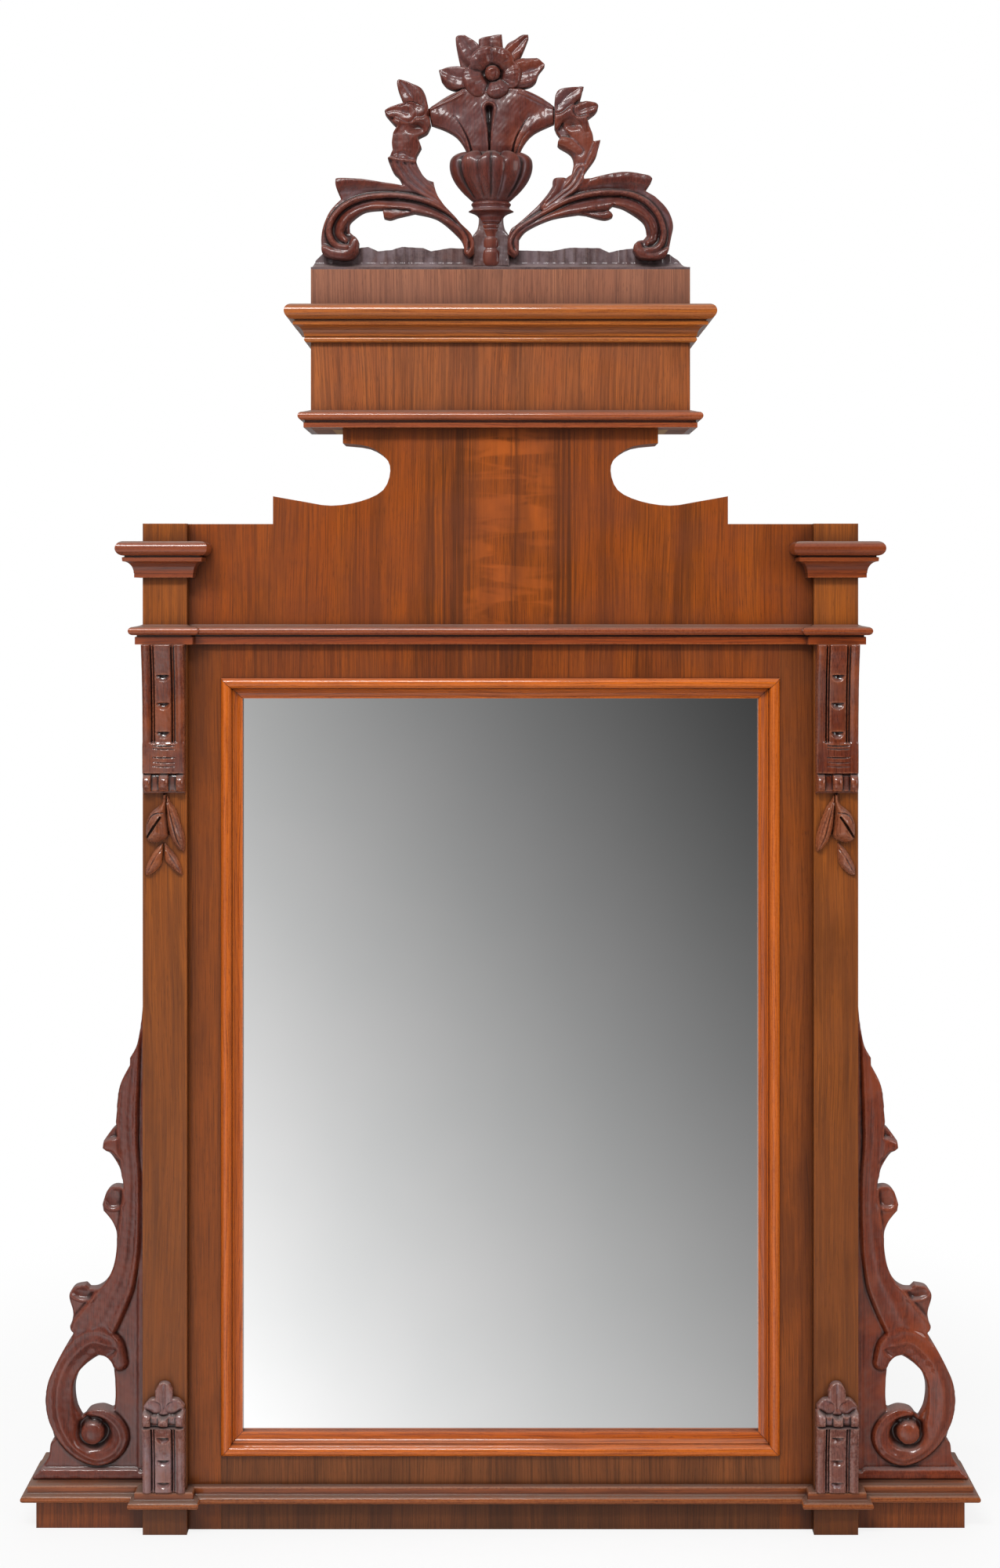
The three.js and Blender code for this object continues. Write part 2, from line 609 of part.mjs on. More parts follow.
for (const side of [-1, 1]) {
  const label = side < 0 ? 'left' : 'right';
  const at = side * corbelAxis;
  add(`upper_corbel_${label}`, shiftTo(upperCorbel, at), carving());
  add(`corbel_drop_${label}`, shiftTo(side < 0 ? drop : mirrored(drop), at), carving());
  add(`lower_corbel_${label}`, shiftTo(lowerCorbel, at), carving());
}

// ---- crest ------------------------------------------------------------------------------------------
// everything on the crest is measured up from the attic block's top
const rise = (runs) => runs.map((run) => run.map(([x, y]) => [x, crestBase + y]));
const raised = (runs, steps = 2) => outlineOf(rise(runs), steps);

// ground board: a ledge that hollows back to an upright fluted board with a scalloped top
const groundHollow = [
  ...points([[groundBack, 0], [friezeFace, 0], [friezeFace, 2.5]]),
  ...bow(friezeFace, 12, friezeFace - crestBack, 9.5, 270, 180, 5).slice(1),
  ...points([[crestBack, groundHeight + 3], [groundBack, groundHeight + 3]]),
];
const groundSolid = loft(groundHollow, [-friezeEdge, friezeEdge].map((x) =>
  (q) => place(x, q.x, crestBase + q.y)));
const groundMask = plate(raised([
  [[-friezeEdge, -1], [-friezeEdge, 7]],
  [[-208, 14], [-200, 21.5], [-180, 25], [-159, 28]],
  [[-149, groundHeight + 2.5], [-138, groundHeight - 2.5], [-122, groundHeight - 1],
    [-111, groundHeight + 2.5], [-87, groundHeight + 1], [-78, groundHeight - 2.5],
    [-57, groundHeight + 1]],
  [[57, groundHeight - 2.5], [70, groundHeight], [78, groundHeight + 1.5],
    [112, groundHeight + 1], [122, groundHeight - 4], [135, groundHeight - 1], [148, 27.5]],
  [[190, 21], [200, 14], [206, 7]],
  [[friezeEdge, 5], [friezeEdge, -1]],
]), groundBack - 2, friezeFace + 2);
const groundShape = fromManifold(toManifold(groundSolid).intersect(toManifold(groundMask)));
add('crest_ground', cut(groundShape,
  ...[-1, 1].map((side) => dowelHole(side, crestBase - 1, crestBase + dowelLength / 2 + fitGap,
    dowelRadius + fitGap))), carving());
for (const side of [-1, 1]) {
  add(`crest_dowel_${side < 0 ? 'left' : 'right'}`,
    dowelHole(side, dowelBottom, dowelBottom + dowelLength, dowelRadius), pine());
}

const crestFace = crestBack + crestThickness;
const arm = (path, widths, height, steps) =>
  rib(rise([path])[0], widths, crestFace - 1, height, steps);

// urn: half-round turned body, lobed bowl, with a spreading fan above it
const urnHeights = [12.5, 16, 30, 42, 44, 52, 58, 64, 66, 70, 74, 78, 80, 90, 104, 119, 128, 133];
const urnRadii = [15, 17.5, 17.5, 14, 16, 14, 15.5, 15.5, 24, 21, 23, 23.5, 24.5, 33, 42, 45.5,
  45, 36];
const urnLobes = 9;
const urnFlatness = 0.5;
const urnRing = 27;
const urnSection = bow(0, 0, 1, 1, 0, 180, urnRing);
const urn = loft(urnSection, urnHeights.map((h, i) => {
  const lobed = h > 79 && h < 131;
  return (q) => {
    const angle = Math.atan2(q.y, q.x);
    const swell = lobed ? 1 - 0.07 * (1 - Math.abs(Math.sin(angle * urnLobes))) : 1;
    const reach = Math.min(urnRadii[i], h < 60 ? 17.8 : 46);
    return place(urnAxis + reach * q.x, crestBack + reach * urnFlatness * q.y * swell * 1.1,
      crestBase + h);
  };
}));
const fan = plate(raised([
  [[-46, 126], [-38, 133], [-47, 149], [-60, 158], [-77.5, 164.6]],
  [[-80.7, 181], [-65, 190], [-42, 202], [-30, 206]],
  [[8, 206], [19, 203], [34, 200], [60.3, 185]],
  [[60.3, 166], [39, 156], [28, 145], [22, 132], [27, 126]],
]), crestBack, crestBack + 10);
const slot = (pairs) => plate(points(rise([pairs])[0]), crestBack + 7, crestBack + 40);
const fanRib = (path, widths) => rib(rise([path])[0], widths, crestBack + 9, 8, 8);
const urnWhole = cut(join(urn, fan,
  fanRib([[-22, 134], [-34, 160], [-58, 178]], [14, 22, 12]),
  fanRib([[-10, 134], [-10, 165], [-10, 196]], [20, 26, 28]),
  fanRib([[2, 134], [16, 158], [42, 178]], [14, 22, 12])),
slot([[-16.5, 181], [-8.5, 181], [-12, 146]]),
slot([[-53, 176], [-50, 176], [-31, 136], [-33, 135]]),
slot([[31, 176], [28, 176], [12, 137], [14, 136]]));
add('crest_urn', urnWhole, carving());
// the scrolls are scribed to the urn with a hair of clearance
const moved = (body, x, z) => body.clone().translate(x, 0, z);
const urnSeats = [[fitGap, 0], [-fitGap, 0], [0, fitGap], [0, -fitGap]]
  .map(([x, z]) => moved(urnWhole, x, z));

const leftScroll = join(
  plate(raised([
    [[-29.5, 20], [-29.5, 32], [-33, 41.5], [-43.5, 52], [-52.5, 62.5], [-64, 75],
      [-71.5, 87], [-75, 100.5]],
    [[-83, 103], [-87.5, 108], [-92.5, 118], [-94.5, 124], [-93.5, 130]],
    [[-88.5, 139], [-92.5, 149.5]],
    [[-87.5, 152], [-81.8, 155.5], [-77.8, 164]],
    [[-81, 185], [-86.5, 202.5], [-99.5, 209.5], [-112, 214], [-115.5, 211.5],
      [-114.5, 203.5], [-108.5, 188]],
    [[-115.5, 186], [-125, 182.5], [-129.5, 178], [-122.5, 168.5], [-115.5, 161.5]],
    [[-120, 154.5], [-121.5, 144], [-120.5, 135.5]],
    [[-126, 125.5], [-120, 111.5], [-113.5, 104.5], [-109.5, 96]],
    [[-155.5, 103], [-181, 104], [-184.5, 100.5], [-183.5, 92.5], [-178.5, 81]],
    [[-183.5, 76.5], [-191.5, 67], [-197.5, 54], [-200.5, 41], [-200.5, 28.5],
      [-197.5, 18], [-179.5, 13], [-166, 14], [-159, 21.5]],
    [[-158.5, 33], [-162, 38], [-169, 44.5]],
    [[-169.5, 50.5], [-167, 56.5], [-152, 67], [-132, 69.5]],
    [[-130.5, 60], [-123.5, 58.5], [-115.5, 61]],
    [[-96, 65.5], [-70, 58.5], [-47, 39], [-41, 28.5]],
    [[-40.5, 20], [-35, 15.5]],
  ]), crestBack, crestFace),
  arm([[-34, 26], [-37, 42], [-56, 60], [-80, 71], [-106, 78], [-135, 80], [-162, 72],
    [-181, 56], [-189, 38], [-184, 24], [-172, 20]],
  [7, 12, 14, 15, 16, 17, 18, 17, 15, 12, 8], 6, 26),
  arm([[-84, 96], [-103, 118], [-108, 140], [-102, 160], [-92, 172]], [16, 18, 20, 22, 14], 8, 10),
  dome(-171, crestBase + 29, 10, 10, crestFace - 1, 8),
  dome(-34.5, crestBase + 23, 5, 6, crestFace - 1, 7));
const rightScroll = join(
  plate(raised([
    [[8, 20], [8, 34.5], [11.5, 47], [17.5, 52], [28, 61], [42, 74], [52.5, 86.5],
      [58.5, 96]],
    [[58.5, 101], [61, 104], [73.5, 104.5]],
    [[79.5, 107.5], [82, 120.5], [80.5, 128.5], [76, 133.5], [66.5, 139]],
    [[64, 141.5], [64.5, 145], [67.5, 149.5]],
    [[63, 155.5], [60.6, 161]],
    [[60.6, 190], [62, 197.5], [68, 203.5], [91, 206], [92, 202.5], [89, 190.5]],
    [[100.5, 189.5], [106.5, 188], [109.5, 184.5], [106.5, 178], [97, 170.5]],
    [[99.5, 161.5], [103, 153], [104, 145]],
    [[112, 146.5], [110, 139], [106, 126.5], [94.5, 110], [93.5, 103]],
    [[101.5, 104], [135.5, 111], [162, 108], [169, 104.5], [169, 100.5], [162.5, 90.5]],
    [[173, 84.5], [183, 75], [190, 64.5], [193.5, 51.5], [191.5, 39], [187, 20],
      [179.5, 14], [168, 13], [155.5, 15], [148.5, 23.5]],
    [[149.5, 29.5], [155, 34.5], [160, 35.5]],
    [[164.5, 41], [160, 55.5], [140, 69.5], [126, 74]],
    [[120.5, 69], [125, 64.5], [125, 61], [115.5, 58.5], [96, 63.5]],
    [[87.5, 64.5], [57, 59], [30.5, 47], [21, 36.5]],
    [[20.5, 20], [15, 15.5]],
  ]), crestBack, crestFace),
  arm([[14, 26], [18, 42], [40, 58], [66, 72], [94, 81], [126, 87], [152, 82], [172, 66],
    [180, 46], [176, 28], [164, 20]], [7, 12, 14, 15, 17, 18, 18, 17, 15, 12, 8], 6, 26),
  arm([[76, 98], [91, 118], [92, 138], [82, 158], [74, 172]], [14, 18, 22, 22, 14], 8, 10),
  dome(161, crestBase + 27, 11, 10, crestFace - 1, 8),
  dome(14.5, crestBase + 23, 5, 6, crestFace - 1, 7));
add('crest_scroll_left', cut(leftScroll, ...urnSeats), carving());
add('crest_scroll_right', cut(rightScroll, ...urnSeats), carving());

// flower: five leaves behind, five petals and a button in front
const flowerX = -9.5;
const flowerZ = crestBase + 222;
const flowerBack = crestBack;
const leafPlate = (runs) => plate(raised(runs), flowerBack, flowerBack + 9);
const petals = Array.from({ length: 5 }, (_, i) => {
  const turn = Math.PI / 2 + (i * 2 * Math.PI) / 5 + 0.1;
  return dome(flowerX + 17 * Math.cos(turn), flowerZ + 15 * Math.sin(turn), 16, 13,
    flowerBack, 21, -turn, 12);
});
const flower = join(
  leafPlate([[[-42, 226], [-46, 236], [-50, 257], [-48.5, 264], [-40, 265]],
    [[-30, 259], [-22, 251], [-16, 236]]]),
  leafPlate([[[-22, 246], [-24.5, 258], [-21.5, 261.5], [-10, 264.5], [1.5, 265.5]],
    [[3, 250], [-4, 238]]]),
  leafPlate([[[0, 240], [4.5, 250.5], [9, 257], [17, 261], [23, 265], [31, 265.5]],
    [[31.5, 262], [26, 248], [20, 236], [12, 228]]]),
  leafPlate([[[14, 236], [21, 239], [41, 240]], [[47, 235], [49.5, 231], [43, 222], [39, 212],
    [29.5, 206.4], [16, 210]]]),
  leafPlate([[[-40, 224], [-48, 230], [-58, 229], [-69, 226]], [[-66, 214], [-60, 207],
    [-51, 203.5], [-42, 207]], [[-30, 212]]]),
  dome(flowerX, flowerZ, 29, 26, flowerBack, 14, 0, 18),
  ...petals,
  dome(flowerX, flowerZ - 1, 9, 9, flowerBack, 26, 0, 12));
const flowerSeat = plate(raised([
  [[-90, 100], [-47, 199.5], [-30, 206.3], [8, 206.3], [19, 203.3], [34, 200.3], [90, 100]]]),
crestBack - 1, crestBack + 60);
add('crest_flower', cut(flower, flowerSeat), carving());

export default model;
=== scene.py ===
import json
import math

import bpy
import numpy as np
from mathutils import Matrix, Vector


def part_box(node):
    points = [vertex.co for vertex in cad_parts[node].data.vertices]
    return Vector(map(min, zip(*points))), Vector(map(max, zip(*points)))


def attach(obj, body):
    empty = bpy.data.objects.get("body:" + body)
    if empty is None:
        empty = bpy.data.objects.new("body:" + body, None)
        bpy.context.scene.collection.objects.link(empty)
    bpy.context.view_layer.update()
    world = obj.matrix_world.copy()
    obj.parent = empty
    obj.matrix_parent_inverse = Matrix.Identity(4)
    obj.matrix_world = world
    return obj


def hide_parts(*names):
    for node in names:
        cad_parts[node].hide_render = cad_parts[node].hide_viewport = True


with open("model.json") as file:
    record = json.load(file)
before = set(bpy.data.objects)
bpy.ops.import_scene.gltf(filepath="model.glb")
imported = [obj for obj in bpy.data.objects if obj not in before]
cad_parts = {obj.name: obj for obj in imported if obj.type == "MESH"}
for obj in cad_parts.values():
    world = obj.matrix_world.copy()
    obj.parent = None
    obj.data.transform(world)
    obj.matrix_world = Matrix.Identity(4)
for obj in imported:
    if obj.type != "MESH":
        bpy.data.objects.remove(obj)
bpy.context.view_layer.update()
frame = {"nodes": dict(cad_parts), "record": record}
nodes = frame["nodes"]

millimetre = 0.001
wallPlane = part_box("pilaster_left")[1].y    # the wall touches the pilasters' back edges


# Edges of a node in millimetres: x0, x1, back, front, z0, z1 (forward of the wall).
def boxOf(node):
    low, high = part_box(node)
    return [value / millimetre for value in
            (low.x, high.x, wallPlane - high.y, wallPlane - low.y, low.z, high.z)]


pilaster = boxOf("pilaster_right")
stile = boxOf("frame_stile_right")
frieze = boxOf("frieze_front")
sidePlinth = boxOf("side_plinth_right")
attic = boxOf("attic_block")

places = {
    "pilasterEdge": pilaster[0], "outerEdge": pilaster[1], "pilasterFace": pilaster[3],
    "frameFace": stile[3], "stileEdge": stile[0], "friezeEdge": frieze[1],
    "friezeFace": frieze[3], "plinthEnd": sidePlinth[1], "plinthFace": sidePlinth[3],
    "plinthTop": sidePlinth[5], "crestBase": attic[5],
}
sides = (("left", -1), ("right", 1))


# Stacks millimetre arrays (x, forward of the wall, up) into points of the row frame.
def toMetres(x, forward, z):
    x, forward, z = np.broadcast_arrays(x, forward, z)
    return np.stack([x * millimetre, wallPlane - forward * millimetre, z * millimetre], -1)


# Puts arrays into a mesh piece that rides on the root and stands for one CAD node.
def makePiece(name, points, quads, node, material, attributes, sharpAngle, uv=None,
              extra=()):
    points = np.asarray(points, np.float32).reshape(-1, 3)
    corners = np.concatenate([np.ravel(quads)] + [np.array(face) for face in extra])
    sizes = np.array([4] * len(quads) + [len(face) for face in extra])
    mesh = bpy.data.meshes.new(name)
    mesh.vertices.add(len(points))
    mesh.vertices.foreach_set("co", points.ravel())
    mesh.loops.add(len(corners))
    mesh.loops.foreach_set("vertex_index", corners.astype(np.int32))
    mesh.polygons.add(len(sizes))
    mesh.polygons.foreach_set("loop_start", np.concatenate([[0], np.cumsum(sizes)[:-1]]))
    mesh.update(calc_edges=True)
    mesh.validate()
    turnOutwards(mesh)
    for key, values in attributes.items():
        layer = mesh.attributes.new(key, "FLOAT", "POINT")
        layer.data.foreach_set("value", np.ascontiguousarray(values, np.float32).ravel())
    if uv is not None:
        corner = np.zeros(len(mesh.loops), np.int32)
        mesh.loops.foreach_get("vertex_index", corner)
        layer = mesh.uv_layers.new(name="run")
        layer.data.foreach_set("uv", np.asarray(uv, np.float32)[corner].ravel())
    mesh.polygons.foreach_set("use_smooth", np.ones(len(mesh.polygons), bool))
    mesh.set_sharp_from_angle(angle=math.radians(sharpAngle))
    piece = bpy.data.objects.new(name, mesh)
    bpy.context.scene.collection.objects.link(piece)
    mesh.materials.append(material)
    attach(piece, "root")
    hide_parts(node)


# A grid of closed sections, one to a row, with a flat cap on each end.
def makeTube(name, points, node, material, attributes, sharpAngle, uv=None):
    rows, columns = points.shape[:2]
    index = np.arange(rows * columns).reshape(rows, columns)
    caps = [index[0, ::-1], index[-1]]
    index = np.concatenate([index, index[:, :1]], 1)
    quads = [index[:-1, :-1], index[:-1, 1:], index[1:, 1:], index[1:, :-1]]
    makePiece(name, points, np.stack([q.ravel() for q in quads], -1), node, material,
              attributes, sharpAngle, uv, caps)


# Flips every face where the signed volume comes out negative.
def turnOutwards(mesh):
    mesh.calc_loop_triangles()
    count = len(mesh.loop_triangles)
    corners = np.zeros(count * 3, np.int32)
    mesh.loop_triangles.foreach_get("vertices", corners)
    points = np.zeros(len(mesh.vertices) * 3)
    mesh.vertices.foreach_get("co", points)
    a, b, c = points.reshape(-1, 3)[corners.reshape(-1, 3)].transpose(1, 0, 2)
    if np.einsum("ij,ij->i", a, np.cross(b, c)).sum() < 0:
        mesh.flip_normals()


slotOf = {part["node"]: part["material_slot"] for part in frame["record"]["subparts"]}


# Display values of 0 to 255 as linear light, with alpha.
def linear(red, green, blue):
    shares = [v / 255 for v in (red, green, blue)]
    return tuple(s / 12.92 if s <= 0.04045 else ((s + 0.055) / 1.055) ** 2.4
                 for s in shares) + (1,)


# Short calls for adding and wiring the nodes of one material or node group.
class Tree:

    def __init__(self, tree):
        self.tree = tree

    # A new node with its settings. Feeds are values or sockets for its inputs.
    def add(self, kind, feeds=None, **settings):
        node = self.tree.nodes.new(kind)
        for key, value in settings.items():
            setattr(node, key, value)
        for key, value in (feeds or {}).items():
            self.feed(node.inputs[key], value)
        return node

    def feed(self, socket, value):
        if isinstance(value, bpy.types.NodeSocket):
            self.tree.links.new(value, socket)
        elif value is not None:
            socket.default_value = value

    def math(self, operation, a, b=None, clamp=False):
        return self.add("ShaderNodeMath", {0: a, 1: b}, operation=operation,
                        use_clamp=clamp).outputs[0]

    def times(self, a, b, clamp=False):
        return self.math("MULTIPLY", a, b, clamp)

    def plus(self, a, b):
        return self.math("ADD", a, b)

    def minus(self, a, b):
        return self.math("SUBTRACT", a, b)

    def scaled(self, vector, scale, offset=(0, 0, 0)):
        return self.add("ShaderNodeMapping", {"Vector": vector, "Location": offset,
                                              "Scale": scale}).outputs[0]

    # Noise over a vector scaled by one number or by three.
    def noise(self, vector, scale, detail=3.0, roughness=0.5, distortion=0.0,
              offset=(0, 0, 0)):
        scale = scale if isinstance(scale, tuple) else (scale,) * 3
        return self.add("ShaderNodeTexNoise", {
            "Vector": self.scaled(vector, scale, offset), "Scale": 1.0, "Detail": detail,
            "Roughness": roughness, "Distortion": distortion}).outputs["Fac"]

    def span(self, value, low, high, toLow=0.0, toHigh=1.0):
        return self.add("ShaderNodeMapRange", {
            "Value": value, "From Min": low, "From Max": high, "To Min": toLow,
            "To Max": toHigh}, interpolation_type="SMOOTHSTEP").outputs[0]

    def mix(self, share, a, b):
        return self.add("ShaderNodeMix", {0: share, 6: a, 7: b}, data_type="RGBA",
                        clamp_factor=True).outputs[2]

    # Lays a display tone over a colour where the mask is, by the amount.
    def tint(self, colour, mask, tone, amount=None):
        share = mask if amount is None else self.times(mask, amount)
        return self.mix(share, colour, linear(*tone))

    def bump(self, height, strength, distance, normal=None):
        return self.add("ShaderNodeBump", {"Strength": strength, "Distance": distance,
                                           "Height": height, "Normal": normal}).outputs[0]

    def group(self, tree, **inputs):
        return self.add("ShaderNodeGroup", inputs, node_tree=tree).outputs

    def parts(self, vector):
        return self.add("ShaderNodeSeparateXYZ", {0: vector}).outputs

    def place(self):
        return self.add("ShaderNodeTexCoord").outputs["Object"]

    def normal(self):
        return self.add("ShaderNodeNewGeometry").outputs["Normal"]

    def mark(self, name):
        return self.add("ShaderNodeAttribute", attribute_name=name).outputs["Fac"]


# A shader node group with named sockets: inputs as (name, kind, default).
def newGroup(name, inputs, outputs):
    tree = bpy.data.node_groups.new(name, "ShaderNodeTree")
    for label, kind, default in inputs:
        socket = tree.interface.new_socket(label, in_out="INPUT", socket_type=kind)
        if default is not None:
            socket.default_value = default
    for label, kind in outputs:
        tree.interface.new_socket(label, in_out="OUTPUT", socket_type=kind)
    source = tree.nodes.new("NodeGroupInput")
    target = tree.nodes.new("NodeGroupOutput")
    return Tree(tree), source.outputs, target.inputs


def newMaterial(name):
    material = bpy.data.materials.new(name)
    material.use_nodes = True
    tree = Tree(material.node_tree)
    return material, tree, material.node_tree.nodes["Principled BSDF"]


# Streaks, fibres and pores along the third axis of a vector given in metres.
def woodGrainGroup():
    tree, given, out = newGroup("woodGrain", [
        ("Vector", "NodeSocketVector", None),
        ("Dark", "NodeSocketColor", linear(92, 46, 22)),
        ("Middle", "NodeSocketColor", linear(140, 74, 34)),
        ("Light", "NodeSocketColor", linear(168, 96, 46)),
        ("Streaks", "NodeSocketFloat", 0.5),
    ], [("Color", "NodeSocketColor"), ("Height", "NodeSocketFloat")])
    vector = given["Vector"]
    warp = tree.noise(vector, (9, 9, 2.2), 2.0)
    bend = tree.add("ShaderNodeCombineXYZ", {0: tree.times(tree.minus(warp, 0.5), 0.03)})
    bent = tree.add("ShaderNodeVectorMath", {0: vector, 1: bend.outputs[0]},
                    operation="ADD").outputs[0]
    wide = tree.noise(bent, (34, 34, 0.9), 3.0, 0.55)
    narrow = tree.noise(bent, (260, 260, 2.2), 5.0, 0.7)
    fibre = tree.noise(bent, (950, 950, 14), 2.0)
    pores = tree.span(tree.noise(bent, (1500, 1500, 70), 1.0), 0.63, 0.7)
    base = tree.mix(tree.span(wide, 0.32, 0.68), given["Middle"], given["Light"])
    streak = tree.times(tree.span(narrow, 0.5, 0.66), given["Streaks"])
    streaked = tree.mix(streak, base, given["Dark"])
    fine = tree.mix(tree.span(fibre, 0.42, 0.66, 0.0, 0.55), streaked, given["Dark"])
    tree.feed(out["Color"], tree.mix(tree.times(pores, 0.6), fine, given["Dark"]))
    tree.feed(out["Height"], tree.minus(tree.times(fibre, 0.5), pores))
    return tree.tree


# Cross figure of a polished veneer: soft mottles that lie across the grain.
def figureGroup():
    tree, given, out = newGroup("crossFigure", [
        ("Vector", "NodeSocketVector", None), ("Centre", "NodeSocketFloat", 0.0),
        ("Reach", "NodeSocketFloat", 0.1),
    ], [("Mask", "NodeSocketFloat")])
    mottle = tree.noise(given["Vector"], (15, 15, 72), 2.0, 0.5, 0.5)
    away = tree.math("ABSOLUTE", tree.minus(tree.parts(given["Vector"])[0], given["Centre"]))
    near = tree.span(tree.math("DIVIDE", away, given["Reach"]), 1.0, 0.35)
    tree.feed(out["Mask"], tree.times(near, tree.span(mottle, 0.4, 0.58)))
    return tree.tree


# Grime with painted shade in hollows, dust with painted sheen on upward faces, and rubbed ridges
# with the painted highlight that carvings give their silhouettes, each as a mask.
def ageAndLightGroup():
    tree, given, out = newGroup("ageAndLight", [
        ("Vector", "NodeSocketVector", None), ("Hollow", "NodeSocketFloat", 0.0),
        ("Ridge", "NodeSocketFloat", 0.0),
    ], [(label, "NodeSocketFloat") for label in ("GrimeAndShadeMask", "DustAndSheenMask", "RubbedAndHighlightMask", "Cloud")])
    cloud = tree.noise(given["Vector"], 14, 4.0, 0.6)
    speck = tree.noise(given["Vector"], 420, 3.0, 0.6)
    uneven = tree.span(tree.plus(tree.times(cloud, 0.6), tree.times(speck, 0.4)), 0.3, 0.65)
    upward = tree.span(tree.parts(tree.normal())[2], 0.45, 0.95)
    # The grime mask darkens hollows as grime and painted shade; the dust mask greys upward faces as
    # dust and painted sheen.
    for label, mask, least in (("GrimeAndShadeMask", given["Hollow"], 0.55), ("DustAndSheenMask", upward, 0.45)):
        share = tree.plus(least, tree.times(uneven, 1 - least))
        tree.feed(out[label], tree.times(mask, share, clamp=True))
    # The ridge mask holds rubbed wear and, on carvings, the painted highlight along their
    # silhouettes.
    tree.feed(out["RubbedAndHighlightMask"], tree.times(given["Ridge"], tree.span(speck, 0.35, 0.6), clamp=True))
    tree.feed(out["Cloud"], cloud)
    return tree.tree


woodGrain = woodGrainGroup()
crossFigure = figureGroup()
ageAndLight = ageAndLightGroup()
print("shared effects ready")


# Wood in a look's own three tones.
def grainOf(tree, vector, look):
    return tree.group(woodGrain, Vector=vector, Dark=linear(*look["dark"]),
                      Middle=linear(*look["middle"]), Light=linear(*look["light"]),
                      Streaks=look["streaks"])


# French polish: a thin clear coat over the stained wood.
def polish(tree, shader, coat, coatRoughness, colour, rough, normal):
    inputs = {"Specular IOR Level": 0.28, "Coat Weight": coat, "Coat Roughness": coatRoughness,
              "Coat IOR": 1.5, "Base Color": colour, "Roughness": rough, "Normal": normal}
    for key, value in inputs.items():
        tree.feed(shader.inputs[key], value)


# Painted shade in the corners between pieces, from ambient occlusion: open to the room is 0, shut
# in is 1.
def paintedCornerShade(tree, reach, most, least):
    corner = tree.add("ShaderNodeAmbientOcclusion", {"Distance": reach}, samples=6)
    return tree.span(corner.outputs["AO"], least, most)


# Polished veneer with upright grain, its own tones, streaks and cross figure.
def veneerMaterial(name, look):
    material, tree, shader = newMaterial(name)
    place = tree.place()
    grain = grainOf(tree, tree.scaled(place, (1, 1, 1), look["offset"]), look)
    colour = grain["Color"]
    if "figure" in look:
        centre, reach, share = look["figure"]
        figure = tree.group(crossFigure, Vector=place, Centre=centre, Reach=reach)
        colour = tree.tint(colour, figure["Mask"], look["glow"], share)
    for x, width, share in look.get("bands", ()):
        wobble = tree.times(tree.minus(tree.noise(place, 3, 2.0), 0.5), 0.05)
        across = tree.minus(tree.parts(place)[0], tree.plus(x, wobble))
        near = tree.span(tree.math("ABSOLUTE", across), width, width * 0.2, 0.0, share)
        streaky = tree.noise(place, (240, 240, 2.2), 4.0, 0.65)
        colour = tree.tint(colour, near, look["dark"], tree.span(streaky, 0.38, 0.6))
    # Darker and greyer towards the bottom.
    if "low" in look:
        low = tree.span(tree.parts(place)[2], 0.95, 0.2, 0.0, look["low"])
        colour = tree.tint(colour, low, (96, 56, 36))
    smudge = tree.noise(place, (26, 26, 5), 4.0, 0.6, offset=look["offset"])
    colour = tree.tint(colour, tree.span(smudge, 0.5, 0.72, 0.0, look["smudge"]), look["dark"])
    agedAndLit = tree.group(ageAndLight, Vector=place)
    cloudy = tree.span(agedAndLit["Cloud"], 0.35, 0.75, 0.0, look["cloud"])
    colour = tree.tint(colour, cloudy, look["shade"])
    # Dust and painted sheen grey the upward faces.
    colour = tree.tint(colour, agedAndLit["DustAndSheenMask"], (112, 92, 82), 0.8)
    # Painted shade darkens the corners between pieces.
    colour = tree.tint(colour, paintedCornerShade(tree, 0.05, 0.3, 0.93), (46, 22, 14), look["grimeAndShade"])
    # Painted highlight: where the bevel normal rounds an edge, the colour turns to the edge tone;
    # the same normal also softens the bump.
    soft = tree.add("ShaderNodeBevel", {"Radius": 0.0011}, samples=6).outputs[0]
    turn = tree.add("ShaderNodeVectorMath", {0: soft, 1: tree.normal()},
                    operation="DOT_PRODUCT").outputs["Value"]
    colour = tree.tint(colour, tree.span(turn, 0.995, 0.93, 0.0, 0.45), look["edge"])
    rough = tree.span(agedAndLit["Cloud"], 0.3, 0.7, look["rough"], look["rough"] + 0.14)
    polish(tree, shader, look["coat"] * 0.5, 0.18, colour, rough,
           tree.bump(grain["Height"], 0.12, 0.0004, soft))
    return material


veneerBase = {"grimeAndShade": 0.7, "streaks": 0.5, "rough": 0.36, "coat": 0.2, "smudge": 0.45,
              "cloud": 0.35}
stileTones = {"streaks": 0.35, "dark": (84, 40, 12), "middle": (138, 67, 16),
              "light": (156, 78, 18), "shade": (112, 56, 20), "edge": (160, 88, 32)}
pilasterTones = {"streaks": 0.45, "smudge": 0.6, "dark": (96, 48, 14), "middle": (154, 80, 18),
                 "light": (172, 92, 22), "shade": (136, 70, 20), "edge": (178, 100, 38)}
